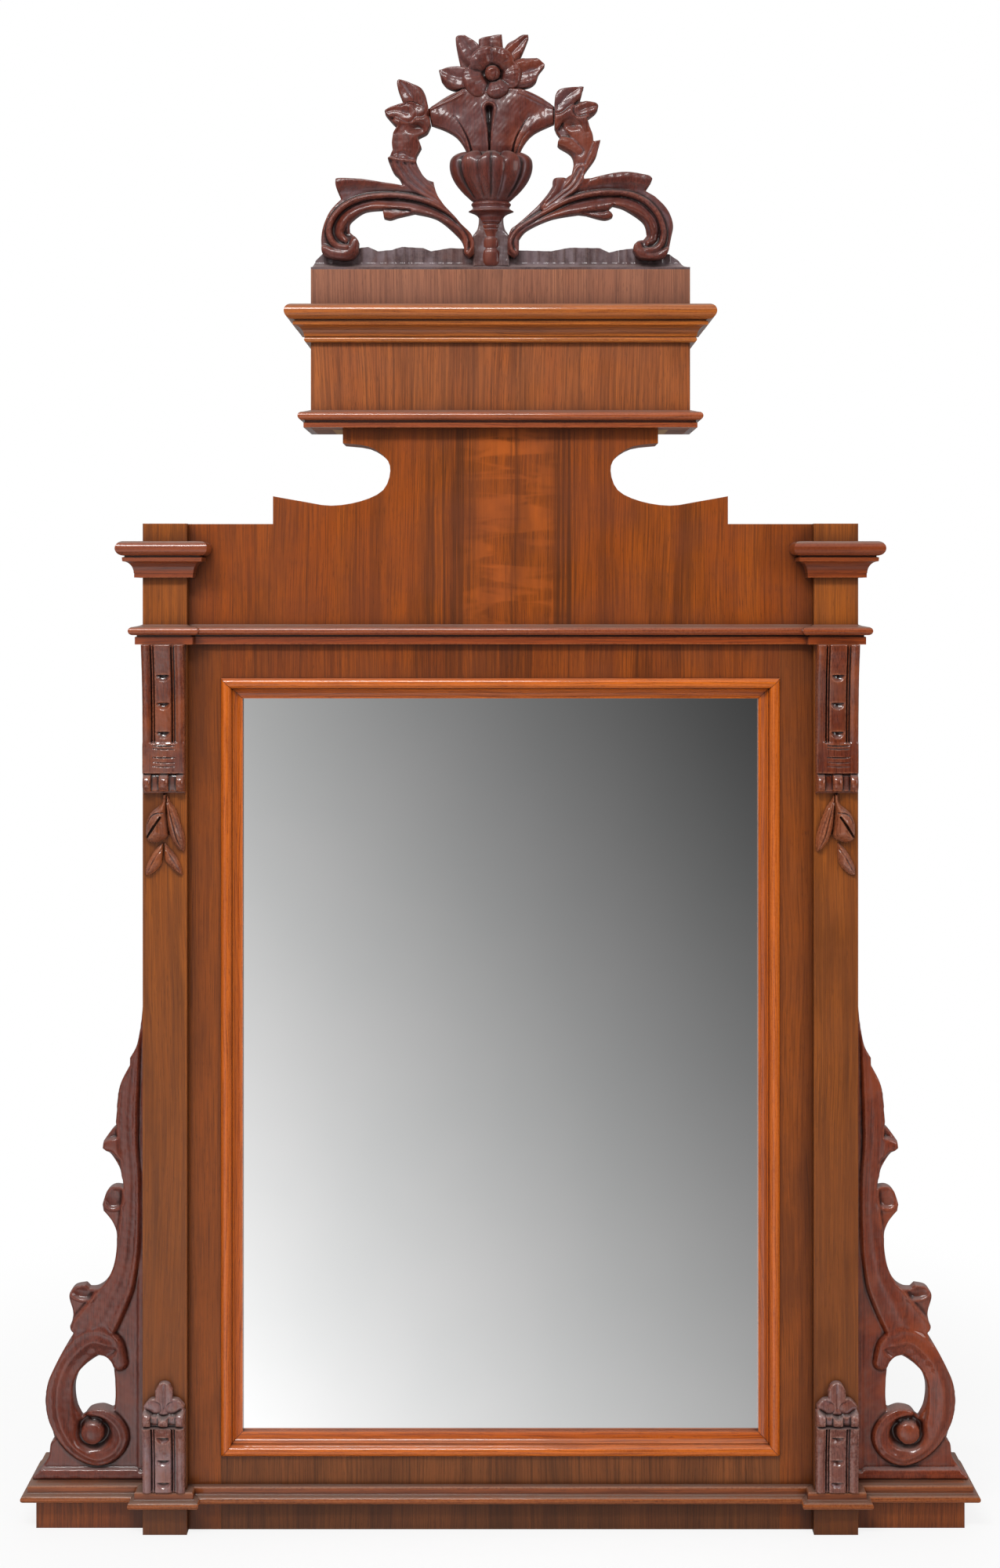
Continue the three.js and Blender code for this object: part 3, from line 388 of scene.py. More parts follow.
# bands: place across the piece, half width and depth of each dark stripe
veneerLooks = {
    "pedimentVeneer": {
        "nodes": ["pediment_board"], "offset": (0.31, 0, 0.2), "rough": 0.34, "cloud": 0.45,
        "dark": (76, 37, 10), "middle": (150, 69, 10), "light": (166, 80, 10),
        "shade": (110, 48, 12), "edge": (172, 91, 37),
        "figure": (0.011, 0.07, 0.85), "glow": (176, 86, 24),
        "bands": [(-0.06, 0.045, 0.85), (0.07, 0.032, 0.85), (0.011, 0.01, 0.7),
                  (0.115, 0.016, 0.6), (-0.15, 0.04, 0.4), (0.21, 0.04, 0.35)],
    },
    "topRailVeneer": {
        "nodes": ["frame_top_rail"], "offset": (0.63, 0, 0.7), "streaks": 0.55, "rough": 0.34,
        "dark": (70, 33, 10), "middle": (136, 62, 14), "light": (154, 74, 15),
        "shade": (104, 48, 16), "edge": (160, 84, 34), "bands": [(-0.02, 0.09, 0.5)],
    },
    "bottomRailVeneer": {
        "nodes": ["frame_bottom_rail"], "offset": (1.3, 0, 0.1), "streaks": 0.55, "rough": 0.42,
        "dark": (72, 40, 18), "middle": (122, 66, 29), "light": (144, 80, 36),
        "shade": (92, 58, 33), "edge": (140, 86, 48), "coat": 0.12,
    },
    "leftStileVeneer": {
        **stileTones, "nodes": ["frame_stile_left"], "offset": (2.1, 0, 0.5),
    },
    "rightStileVeneer": {
        **stileTones, "nodes": ["frame_stile_right"], "offset": (2.9, 0, 1.5),
    },
    "leftPilasterVeneer": {
        **pilasterTones, "nodes": ["pilaster_left"], "offset": (3.7, 0, 0.9), "low": 0.5,
        "bands": [(-0.392, 0.016, 0.5), (-0.353, 0.014, 0.6)],
    },
    "rightPilasterVeneer": {
        **pilasterTones, "nodes": ["pilaster_right"], "offset": (4.4, 0, 2.3), "low": 0.4,
        "bands": [(0.394, 0.016, 0.5), (0.352, 0.012, 0.4)],
    },
    "friezeVeneer": {
        "nodes": ["frieze_front"], "offset": (5.2, 0, 0.4), "streaks": 0.55,
        "dark": (82, 42, 20), "middle": (154, 80, 34), "light": (170, 93, 40),
        "shade": (128, 70, 38), "edge": (178, 106, 55),
        "bands": [(-0.04, 0.03, 0.6), (0.022, 0.02, 0.6), (0.12, 0.014, 0.4),
                  (-0.11, 0.02, 0.35)],
    },
    "friezeSideVeneer": {
        "nodes": ["frieze_side_left", "frieze_side_right"], "offset": (6.1, 3.0, 0.9),
        "streaks": 0.4, "dark": (88, 46, 18), "middle": (138, 73, 29), "light": (152, 85, 34),
        "shade": (116, 65, 31), "edge": (168, 99, 50), "rough": 0.4, "coat": 0.3,
    },
    "atticVeneer": {
        "nodes": ["attic_block"], "offset": (7.3, 0, 1.1), "rough": 0.46,
        "dark": (88, 50, 36), "middle": (146, 90, 64), "light": (160, 102, 72),
        "shade": (130, 86, 70), "edge": (164, 112, 75),
    },
    "sidePlinthVeneer": {
        "nodes": ["side_plinth_left", "side_plinth_right"], "offset": (8.2, 0, 0.3),
        "dark": (90, 44, 18), "middle": (166, 80, 28), "light": (184, 94, 33),
        "shade": (114, 64, 33), "edge": (160, 93, 51), "rough": 0.4, "coat": 0.3,
    },
}


# Polished solid moulding: grain along the run, quirks dark with grime and painted shade, rubbed
# edges, dust and painted sheen on the tops, painted shade in the corners.
def mouldingMaterial(name, look):
    material, tree, shader = newMaterial(name)
    run = tree.parts(tree.add("ShaderNodeUVMap", uv_map="run").outputs[0])
    turned = tree.add("ShaderNodeCombineXYZ", {0: run[1], 2: run[0]}).outputs[0]
    grain = grainOf(tree, tree.scaled(turned, (0.8, 1, 0.9), look["offset"]), look)
    agedAndLit = tree.group(ageAndLight, Vector=tree.place(), Hollow=tree.mark("hollow"),
                      Ridge=tree.mark("ridge"))
    # Grime and painted shade darken the quirks.
    colour = tree.tint(grain["Color"], agedAndLit["GrimeAndShadeMask"], look["quirk"], look["grimeAndShade"])
    colour = tree.tint(colour, agedAndLit["RubbedAndHighlightMask"], look["edge"], look["rubAndHighlight"])
    # Dust and painted sheen grey the upward faces.
    colour = tree.tint(colour, agedAndLit["DustAndSheenMask"], (126, 104, 92), look["dustAndSheen"])
    # Painted shade darkens the corners between pieces.
    colour = tree.tint(colour, paintedCornerShade(tree, 0.012, 0.25, 0.7), look["quirk"], look["grimeAndShade"])
    matt = tree.math("MAXIMUM", agedAndLit["GrimeAndShadeMask"], agedAndLit["DustAndSheenMask"])
    polish(tree, shader, look["coat"], 0.06, colour,
           tree.span(matt, 0.1, 1.0, look["rough"], 0.65),
           tree.bump(grain["Height"], 0.1, 0.0004))
    return material


mouldingBase = {"rubAndHighlight": 0.5, "rough": 0.3, "coat": 0.75}
mouldingLooks = {
    "cornicePolish": {
        "offset": (0.4, 0, 0.3), "streaks": 0.35, "dark": (92, 42, 19), "middle": (160, 82, 28),
        "light": (178, 96, 33), "quirk": (52, 24, 16), "edge": (196, 120, 48),
        "grimeAndShade": 0.5, "dustAndSheen": 0.7,
    },
    "architravePolish": {
        "offset": (1.4, 0, 0.9), "streaks": 0.3, "dark": (86, 36, 20), "middle": (144, 66, 34),
        "light": (160, 78, 39), "quirk": (50, 22, 16), "edge": (180, 102, 56),
        "grimeAndShade": 0.75, "dustAndSheen": 0.7,
    },
    "neckPolish": {
        "offset": (2.2, 0, 1.7), "streaks": 0.3, "dark": (86, 36, 19), "middle": (140, 60, 22),
        "light": (156, 70, 26), "quirk": (52, 22, 15), "edge": (178, 99, 53),
        "grimeAndShade": 0.85, "dustAndSheen": 0.85,
    },
    "capitalPolish": {
        "offset": (3.4, 0, 2.2), "streaks": 0.3, "dark": (84, 34, 17), "middle": (130, 57, 25),
        "light": (144, 66, 28), "quirk": (50, 22, 15), "edge": (172, 93, 47),
        "grimeAndShade": 0.8, "dustAndSheen": 0.85, "rubAndHighlight": 0.45,
    },
    "glassMouldingPolish": {
        "offset": (4.1, 0, 0.2), "streaks": 0.25, "dark": (110, 42, 14), "middle": (196, 90, 18),
        "light": (210, 104, 22), "quirk": (58, 22, 12), "edge": (226, 128, 44),
        "grimeAndShade": 0.85, "dustAndSheen": 0.35, "rubAndHighlight": 0.35, "rough": 0.27,
    },
    "capPolish": {
        "offset": (5.6, 0, 1.1), "streaks": 0.35, "dark": (78, 36, 17), "middle": (134, 65, 28),
        "light": (152, 78, 34), "quirk": (48, 28, 22), "edge": (186, 112, 59),
        "grimeAndShade": 0.85, "dustAndSheen": 0.9, "coat": 0.35,
    },
}


# Stained and waxed carving: grime and painted shade near black in the deep hollows and the corners
# between pieces, grey dust on the shallow ones, dust and painted sheen on upward faces, warm brown
# where ridges are rubbed and as painted highlight along the silhouettes, and a thin gloss over it
# all.
def carvingMaterial(name, look):
    material, tree, shader = newMaterial(name)
    place = tree.place()
    grain = grainOf(tree, tree.scaled(place, (1, 1, 1), look["offset"]), look)
    hollow = tree.mark("hollow")
    agedAndLit = tree.group(ageAndLight, Vector=place, Hollow=hollow, Ridge=tree.mark("ridge"))
    warmth = tree.noise(place, 17, 3.0, 0.6, offset=(3, 1, 2))
    warm = tree.span(warmth, 0.48, 0.66, 0.0, look["warm"])
    colour = tree.tint(grain["Color"], warm, look["glow"])
    # Rubbed ridges, with a painted highlight along the silhouettes, turn to the edge tone.
    colour = tree.tint(colour, agedAndLit["RubbedAndHighlightMask"], look["edge"], look["rubAndHighlight"])
    shallow = tree.minus(tree.span(hollow, 0.02, 0.25), tree.span(hollow, 0.3, 0.7))
    patchy = tree.span(tree.noise(place, 30, 4.0, 0.62), 0.42, 0.62)
    settled = tree.times(tree.times(shallow, patchy), look["bloom"])
    colour = tree.tint(colour, settled, look["dustTone"])
    hazy = tree.span(agedAndLit["Cloud"], 0.46, 0.68)
    colour = tree.tint(colour, hazy, look["dustTone"], look["haze"])
    # Grime and painted shade darken the hollows near black.
    grimeAndShadeShare = tree.span(agedAndLit["GrimeAndShadeMask"], 0.1, 0.75)
    colour = tree.tint(colour, grimeAndShadeShare, look["quirk"], look["grimeAndShade"])
    # Dust and painted sheen grey the upward faces.
    colour = tree.tint(colour, agedAndLit["DustAndSheenMask"], (132, 116, 112), look["dustAndSheen"])
    # Painted shade darkens the corners between pieces.
    colour = tree.tint(colour, paintedCornerShade(tree, 0.009, 0.2, 0.62), look["quirk"], look["grimeAndShade"])
    height = tree.plus(tree.times(tree.noise(place, 190), 1.6),
                       tree.times(grain["Height"], 0.5))
    matt = tree.math("MAXIMUM", settled, agedAndLit["DustAndSheenMask"])
    polish(tree, shader, look["coat"], 0.1, colour,
           tree.span(matt, 0.1, 0.9, look["rough"], 0.62), tree.bump(height, 0.06, 0.001))
    return material


carvingBase = {"grimeAndShade": 0.9, "rubAndHighlight": 0.6, "haze": 0.3, "dustAndSheen": 0.6, "warm": 0.5, "coat": 1.0}
carvingLooks = {
    "dropStain": {
        "offset": (4.2, 0, 4.6), "streaks": 0.3, "dark": (70, 30, 17), "middle": (124, 60, 34),
        "light": (142, 74, 42), "quirk": (38, 18, 13), "edge": (186, 120, 84),
        "dustTone": (112, 96, 92), "glow": (160, 84, 40), "warm": 0.6, "bloom": 0.3,
        "rubAndHighlight": 0.5, "dustAndSheen": 0.7, "rough": 0.24,
    },
    "wingStain": {
        "offset": (0.2, 0, 0.6), "streaks": 0.4, "dark": (58, 22, 15), "middle": (100, 42, 30),
        "light": (114, 51, 36), "quirk": (34, 13, 10), "edge": (146, 76, 55),
        "dustTone": (112, 82, 80), "glow": (134, 62, 38), "warm": 0.4, "bloom": 0.5,
        "rough": 0.3, "coat": 0.7,
    },
    "rightWingStain": {
        "offset": (5.2, 0, 5.6), "streaks": 0.4, "dark": (66, 24, 14), "middle": (122, 50, 29),
        "light": (136, 60, 34), "quirk": (36, 14, 10), "edge": (160, 84, 54),
        "dustTone": (120, 84, 74), "glow": (152, 70, 36), "bloom": 0.4, "haze": 0.25,
        "rough": 0.3, "coat": 0.7,
    },
    "lowCorbelStain": {
        "offset": (6.2, 0, 6.6), "streaks": 0.3, "dark": (58, 26, 22), "middle": (112, 58, 46),
        "light": (128, 72, 58), "quirk": (32, 16, 15), "edge": (176, 132, 118),
        "dustTone": (138, 112, 116), "glow": (150, 84, 54), "warm": 0.4, "grimeAndShade": 0.92,
        "bloom": 0.7, "haze": 0.7, "rubAndHighlight": 0.7, "dustAndSheen": 0.8, "rough": 0.24,
    },
    "crestStain": {
        "offset": (1.2, 0, 1.6), "streaks": 0.4, "dark": (48, 19, 15), "middle": (84, 34, 27),
        "light": (98, 42, 31), "quirk": (28, 12, 11), "edge": (138, 76, 58),
        "dustTone": (104, 82, 86), "glow": (126, 58, 34), "grimeAndShade": 0.95, "bloom": 0.6,
        "rubAndHighlight": 0.5, "rough": 0.38, "coat": 0.32,
    },
    "groundStain": {
        "offset": (2.2, 0, 2.6), "streaks": 0.3, "dark": (52, 34, 32), "middle": (76, 59, 61),
        "light": (92, 74, 76), "quirk": (38, 24, 26), "edge": (150, 118, 110),
        "dustTone": (122, 104, 108), "glow": (116, 72, 58), "warm": 0.3, "grimeAndShade": 0.8,
        "bloom": 0.8, "haze": 0.5, "rubAndHighlight": 0.5, "dustAndSheen": 0.8, "rough": 0.36, "coat": 0.6,
    },
    "corbelStain": {
        "offset": (3.2, 0, 3.6), "streaks": 0.4, "dark": (56, 20, 13), "middle": (104, 44, 26),
        "light": (122, 56, 32), "quirk": (32, 12, 9), "edge": (170, 100, 66),
        "dustTone": (112, 90, 84), "glow": (156, 80, 40), "warm": 0.45, "grimeAndShade": 0.92,
        "bloom": 0.4, "haze": 0.2, "dustAndSheen": 0.7, "rough": 0.22,
    },
}


pineLook = {"offset": (0.2, 0.1, 0.4), "dark": (134, 92, 54), "middle": (186, 146, 98),
            "light": (204, 168, 120), "stain": (138, 104, 70), "streaks": 0.55}


# Bare aged pine of the hidden boards and blocks.
def pineMaterial(look):
    material, tree, shader = newMaterial("agedPine")
    place = tree.place()
    turned = tree.add("ShaderNodeMapping", {"Vector": place, "Location": look["offset"],
                                            "Rotation": (0, math.radians(90), 0)})
    grain = grainOf(tree, turned.outputs[0], look)
    stained = tree.span(tree.group(ageAndLight, Vector=place)["Cloud"], 0.4, 0.7, 0.0, 0.5)
    colour = tree.tint(grain["Color"], stained, look["stain"])
    tree.feed(shader.inputs["Base Color"], colour)
    tree.feed(shader.inputs["Normal"], tree.bump(grain["Height"], 0.25, 0.0005))
    tree.feed(shader.inputs["Roughness"], 0.75)
    return material


# Silvered plate glass, faintly cloudy.
def silveredMaterial():
    material, tree, shader = newMaterial("silveredPlate")
    cloud = tree.noise(tree.place(), 5)
    tone = tree.mix(tree.span(cloud, 0.3, 0.7), linear(247, 247, 247), linear(243, 244, 244))
    tree.feed(shader.inputs["Base Color"], tone)
    tree.feed(shader.inputs["Roughness"], tree.span(cloud, 0.3, 0.7, 0.015, 0.035))
    tree.feed(shader.inputs["Metallic"], 1.0)
    return material


def dress(label, material):
    slots = nodes[label].data.materials
    slots.clear()
    slots.append(material)


for title, look in veneerLooks.items():
    veneer = veneerMaterial(title, {**veneerBase, **look})
    for label in look["nodes"]:
        dress(label, veneer)
pine = pineMaterial(pineLook)
for label, slotName in slotOf.items():
    if slotName == "pine":
        dress(label, pine)
dress("mirror_plate", silveredMaterial())
polishes = {title: mouldingMaterial(title, {**mouldingBase, **look})
            for title, look in mouldingLooks.items()}
stains = {title: carvingMaterial(title, {**carvingBase, **look})
          for title, look in carvingLooks.items()}
print("materials ready")


# Part of an ellipse about (cx, cy), angles in degrees.
def bow(cx, cy, rx, ry, start, end, steps=14):
    turn = np.radians(np.linspace(start, end, steps + 1))
    return np.stack([cx + rx * np.cos(turn), cy + ry * np.sin(turn)], -1)


# Joins arcs and short point lists into one section of (projection, height).
def sectionOf(*runs):
    return np.concatenate([np.asarray(run, float).reshape(-1, 2) for run in runs])


# Adds points on the long straight sides, so that tone can change across them.
def refined(section, step=0.7):
    dense = [section[:1]]
    for a, b in zip(section[:-1], section[1:]):
        count = max(1, int(np.hypot(*(b - a)) / step))
        dense.append(a + (b - a) * (np.arange(1, count + 1) / count)[:, None])
    return np.concatenate(dense)


corniceSection = sectionOf(
    [[0, 0]], bow(4, 3.1, 3, 3.1, -90, 60, 10), bow(17.3, 6.9, 10.2, 10.9, 180, 90, 12),
    [[18.1, 17.8], [18.1, 21.9], [16.2, 22.4], [16.2, 23.6]],
    bow(18.7, 32.2, 8.5, 8.5, -90, 90, 20), [[0, 40.7]])
architraveSection = sectionOf(
    [[0, 0], [7.5, 0], [7.5, 5.2], [6.1, 5.9], [6.1, 8]],
    bow(9.2, 12.6, 4.3, 4.5, -90, 90, 16), [[0, 19.9]])
neckSection = sectionOf(
    [[0, 0], [7.4, 0], [7.4, 8.2], [5.6, 8.9], [5.6, 10.3]],
    bow(9.2, 14.9, 4.8, 4.6, -90, 90, 16), [[3.5, 20.6], [0, 22]])
capitalSection = sectionOf(
    [[0, 0], [8, 0], [8, 4.8]], bow(18.3, 4.8, 9.9, 12.8, 180, 96, 14),
    [[19, 17.9], [19.4, 22], [17, 22.8], [17, 24]], bow(18, 32, 8, 8, -90, 90, 20), [[0, 40]])
capSection = sectionOf(
    [[0, 0]], bow(10.6, 4.1, 4, 4.1, -90, 90, 14), bow(10.6, 10.4, 2.8, 2, 270, 180, 8),
    [[7.8, 15.9], [6.6, 17], [0, 17]])
glassSection = sectionOf(
    [[0, 66]], bow(5.7, 79, 5.7, 5.5, 180, 0, 22), [[12, 76.5], [12.8, 76.8]],
    bow(22, 76.8, 8.8, 6, 186, 270, 12), [[23, 70.8], [23, 66]])


# How far each section point lies under or over its neighbours, smoothed over the reach.
def hollowsOf(section, outward):
    reach = 2.2
    length = np.concatenate([[0], np.cumsum(np.hypot(*np.diff(section, axis=0).T))])
    weight = np.exp(-((length[:, None] - length[None]) / reach) ** 2)
    smooth = (weight @ section) / weight.sum(1)[:, None]
    along = np.gradient(section, axis=0)
    normal = np.stack([along[:, 1], -along[:, 0]], -1) * outward
    normal /= np.linalg.norm(normal, axis=1)[:, None] + 1e-9
    proud = ((section - smooth) * normal).sum(1)
    return np.clip(-proud / 0.5, 0, 1), np.clip(proud / 0.5, 0, 1), length


runPitch = 9.0


# A section carried along stations: each one maps section points to millimetres. Between
# stations the surface is straight. The seed moves the grain across the run.
def makeRun(name, node, section, stations, finish, outward=1, seed=0):
    profile = refined(section)
    hollow, ridge, across = hollowsOf(profile, outward)
    ends = [np.stack(np.broadcast_arrays(*station(profile[:, 0], profile[:, 1])), -1)
            for station in stations]
    rows, along, travelled = [], [], 0.0
    middle = len(profile) // 2
    for a, b in zip(ends[:-1], ends[1:]):
        length = np.linalg.norm(b[middle] - a[middle])
        share = np.linspace(0, 1, max(1, int(length / runPitch)) + 1)
        rows.append(a + (b - a) * share[:, None, None])
        along.append(travelled + length * share)
        travelled += length
    x, forward, z = np.concatenate(rows).transpose(2, 0, 1)
    shift = np.random.default_rng(seed).uniform(0, 3)
    uv = np.stack(np.broadcast_arrays(np.concatenate(along)[:, None] * millimetre,
                                      across[None] * millimetre + shift), -1)
    # The materials darken the hollow tone as grime and painted shade and lighten the ridge tone as
    # rubbed wear.
    tone = {"hollow": np.broadcast_to(hollow, x.shape), "ridge": np.broadcast_to(ridge, x.shape)}
    makeTube(name, toMetres(x, forward, z), node, finish, tone, 38, uv.reshape(-1, 2))


# A mitre station: a projection of one moves the corner by (outX, outForward).
def corner(x, forward, outX, outForward, bottom):
    return lambda q, h: (x + q * outX, forward + q * outForward, bottom + h)


mitreGap = 0.6


# Front length and two returns of a moulding that goes round the frieze box.
def roundTheBox(label, section, bottom, finish):
    edge, face = places["friezeEdge"], places["friezeFace"]
    makeRun(f"{label}_front_run", f"{label}_front", section,
            [corner(-edge, face, -1, 1, bottom), corner(edge, face, 1, 1, bottom)], finish)
    for word, side in sides:
        makeRun(f"{label}_{word}_run", f"{label}_return_{word}", section,
                [corner(side * edge, 0, side, 0, bottom),
                 corner(side * edge, face - mitreGap, side, 1, bottom)], finish, seed=side + 3)


roundTheBox("cornice", corniceSection, boxOf("cornice_front")[4], polishes["cornicePolish"])
roundTheBox("architrave", architraveSection, boxOf("architrave_front")[4],
            polishes["architravePolish"])

capitalReturn = 46
for word, side in sides:
    inner, outer = side * places["pilasterEdge"], side * places["outerEdge"]
    face, board = places["pilasterFace"], places["frameFace"]
    bottom = boxOf(f"capital_{word}")[4]
    makeRun(f"capital_{word}_run", f"capital_{word}", capitalSection, [
        corner(inner, board, -side, 0, bottom), corner(inner, face, -side, 1, bottom),
        corner(outer, face, side, 1, bottom),
        corner(outer, face - capitalReturn, side, 0, bottom)],
        polishes["capitalPolish"], seed=11 + side)
    bottom = boxOf(f"neck_moulding_{word}")[4]
    makeRun(f"neck_{word}_run", f"neck_moulding_{word}", neckSection, [
        corner(inner, board + mitreGap, -side, 1, bottom), corner(inner, face, -side, 1, bottom),
        corner(outer, face, side, 1, bottom), corner(outer, 0, side, 0, bottom)],
        polishes["neckPolish"], seed=21 + side)
    bottom = boxOf(f"plinth_cap_side_{word}")[4]
    plinthFace, end = places["plinthFace"], side * places["plinthEnd"]
    makeRun(f"plinth_cap_{word}_run", f"plinth_cap_pilaster_{word}", capSection, [
        corner(inner, board + mitreGap, -side, 1, bottom), corner(inner, face, -side, 1, bottom),
        corner(outer, face, side, 1, bottom),
        corner(outer, plinthFace + mitreGap, side, 1, bottom)],
        polishes["capPolish"], seed=31 + side)
    makeRun(f"side_cap_{word}_run", f"plinth_cap_side_{word}", capSection, [
        corner(outer, plinthFace, side, 1, bottom), corner(end, plinthFace, side, 1, bottom),
        corner(end, 0, side, 0, bottom)], polishes["capPolish"], seed=41 + side)

for label, node, section, finish in (
        ("neck_centre_run", "neck_moulding_centre", neckSection, "neckPolish"),
        ("plinth_cap_centre_run", "plinth_cap_centre", capSection, "capPolish")):
    edge, bottom = places["pilasterEdge"], boxOf(node)[4]
    makeRun(label, node, section, [
        corner(-edge, places["frameFace"], 1, 1, bottom),
        corner(edge, places["frameFace"], -1, 1, bottom)], polishes[finish], seed=51)


# A station of the glass moulding: sections go in from the frame opening.
def inward(x, z, dx, dz):
    return lambda q, forward: (x + q * dx, forward, z + q * dz)


openingEdge = places["stileEdge"]
openingBottom, openingTop = boxOf("glass_moulding_bottom")[4], boxOf("glass_moulding_top")[5]
glassRuns = {
    "top": [inward(-openingEdge, openingTop, 1, -1), inward(openingEdge, openingTop, -1, -1)],
    "bottom": [inward(-openingEdge, openingBottom, 1, 1),
               inward(openingEdge, openingBottom, -1, 1)],
}
for word, side in sides:
    glassRuns[word] = [inward(side * openingEdge, openingBottom + mitreGap, -side, 1),
                       inward(side * openingEdge, openingTop - mitreGap, -side, -1)]
for order, (word, stations) in enumerate(glassRuns.items()):
    makeRun(f"glass_{word}_run", f"glass_moulding_{word}", glassSection, stations,
            polishes["glassMouldingPolish"], seed=61 + order, outward=-1)
print("mouldings ready")


# Uniform Catmull-Rom curve through the points, ends repeated.
def spline(points, steps=10):
    given = np.asarray(points, float)
    if len(given) < 3:
        return given
    padded = np.concatenate([given[:1], given, given[-1:]])
    t = np.linspace(0, 1, steps, endpoint=False)[None, :, None]
    a, b, c, d = (padded[i:len(given) - 1 + i][:, None] for i in range(4))
    leave, arrive = (c - a) / 2, (d - b) / 2
    curve = ((2 * b - 2 * c + leave + arrive) * t ** 3
             + (3 * c - 3 * b - 2 * leave - arrive) * t ** 2 + leave * t + b)
    return np.concatenate([curve.reshape(-1, 2), given[-1:]])


# Smooth runs between sharp corners, joined into one closed loop.
def outlineOf(runs, steps=8):
    return np.concatenate([spline(run, steps) for run in runs])


# For each point: distance to the nearest segment, its index, and the share along it.
def nearestOn(points, starts, ends):
    span = ends - starts
    square = (span ** 2).sum(1) + 1e-12
    results = []
    for part in np.array_split(points, max(1, len(points) * len(starts) // 3000000)):
        offset = part[:, None] - starts[None]
        share = np.clip((offset * span[None]).sum(2) / square, 0, 1)
        gap = ((offset - share[..., None] * span[None]) ** 2).sum(2)
        best = gap.argmin(1)
        rows = np.arange(len(part))
        results.append((np.sqrt(gap[rows, best]), best, share[rows, best]))
    return [np.concatenate(kind) for kind in zip(*results)]


# Even-odd crossings of a level line from each point.
def insideOf(points, starts, ends):
    found = []
    for part in np.array_split(points, max(1, len(points) * len(starts) // 3000000)):
        x, z = part[:, :1], part[:, 1:]
        crosses = (starts[None, :, 1] > z) != (ends[None, :, 1] > z)
        rise = ends[:, 1] - starts[:, 1]
        rise = np.where(rise == 0, 1e-12, rise)
        at = starts[:, 0] + (z - starts[:, 1]) / rise * (ends[:, 0] - starts[:, 0])
        found.append((crosses & (x < at)).sum(1) % 2 == 1)
    return np.concatenate(found)


# A cross section given by a few stops, sampled and softened a little.
def softTable(stops, blur=0.045):
    sides, heights = np.array(stops, float).T
    side = np.linspace(-1, 1, 201)
    weight = np.exp(-((side[:, None] - side[None]) / blur) ** 2)
    return side, weight @ np.interp(side, sides, heights) / weight.sum(1)


crossSections = {
    "arm": softTable([(-1, .2), (-.8, 0), (-.5, .05), (-.1, .5), (.3, .95), (.6, 1), (.85, .75),
                      (1, .35)], 0.08),
    "leaf": softTable([(-1, .25), (-.7, .75), (-.2, .9), (.4, .65), (.85, .1), (1, .5)]),
    "creased": softTable([(-1, .55), (-.6, .95), (-.2, .75), (0, .4), (.2, .75), (.6, .95),
                          (1, .55)], 0.07),
    "lipped": softTable([(-1, 0), (-.72, .3), (-.35, -.6), (0, -1), (.35, -.6), (.72, .3),
                         (1, 0)]),
    "sheath": softTable([(-1, .4), (-.7, .95), (-.42, .4), (-.12, .9), (.15, .35), (.45, .85),
                         (.7, .4), (1, .5)]),
    "scroll": softTable([(-1, .25), (-.7, .4), (-.3, .6), (0, .9), (.12, 1), (.3, .85),
                         (.6, .65), (.8, .7), (.92, .85), (1, .6)]),
    "ridged": softTable([(-1, .2), (-.85, .8), (-.7, .85), (-.45, .5), (-.2, .45), (0, .7),
                         (.12, .75), (.3, .55), (.6, .45), (.85, .75), (1, .7)], 0.06),
    "strip": softTable([(-1, .6), (-.72, .6), (-.6, 0), (-.48, .6), (.6, .6), (.75, .05),
                        (1, .05)]),
    "steps": softTable([(-1, .1), (-.8, .1), (-.7, .5), (-.3, .5), (-.2, .35), (-.1, .8),
                        (.35, .85), (.45, .6), (.55, 1), (1, 1)], 0.03),
}


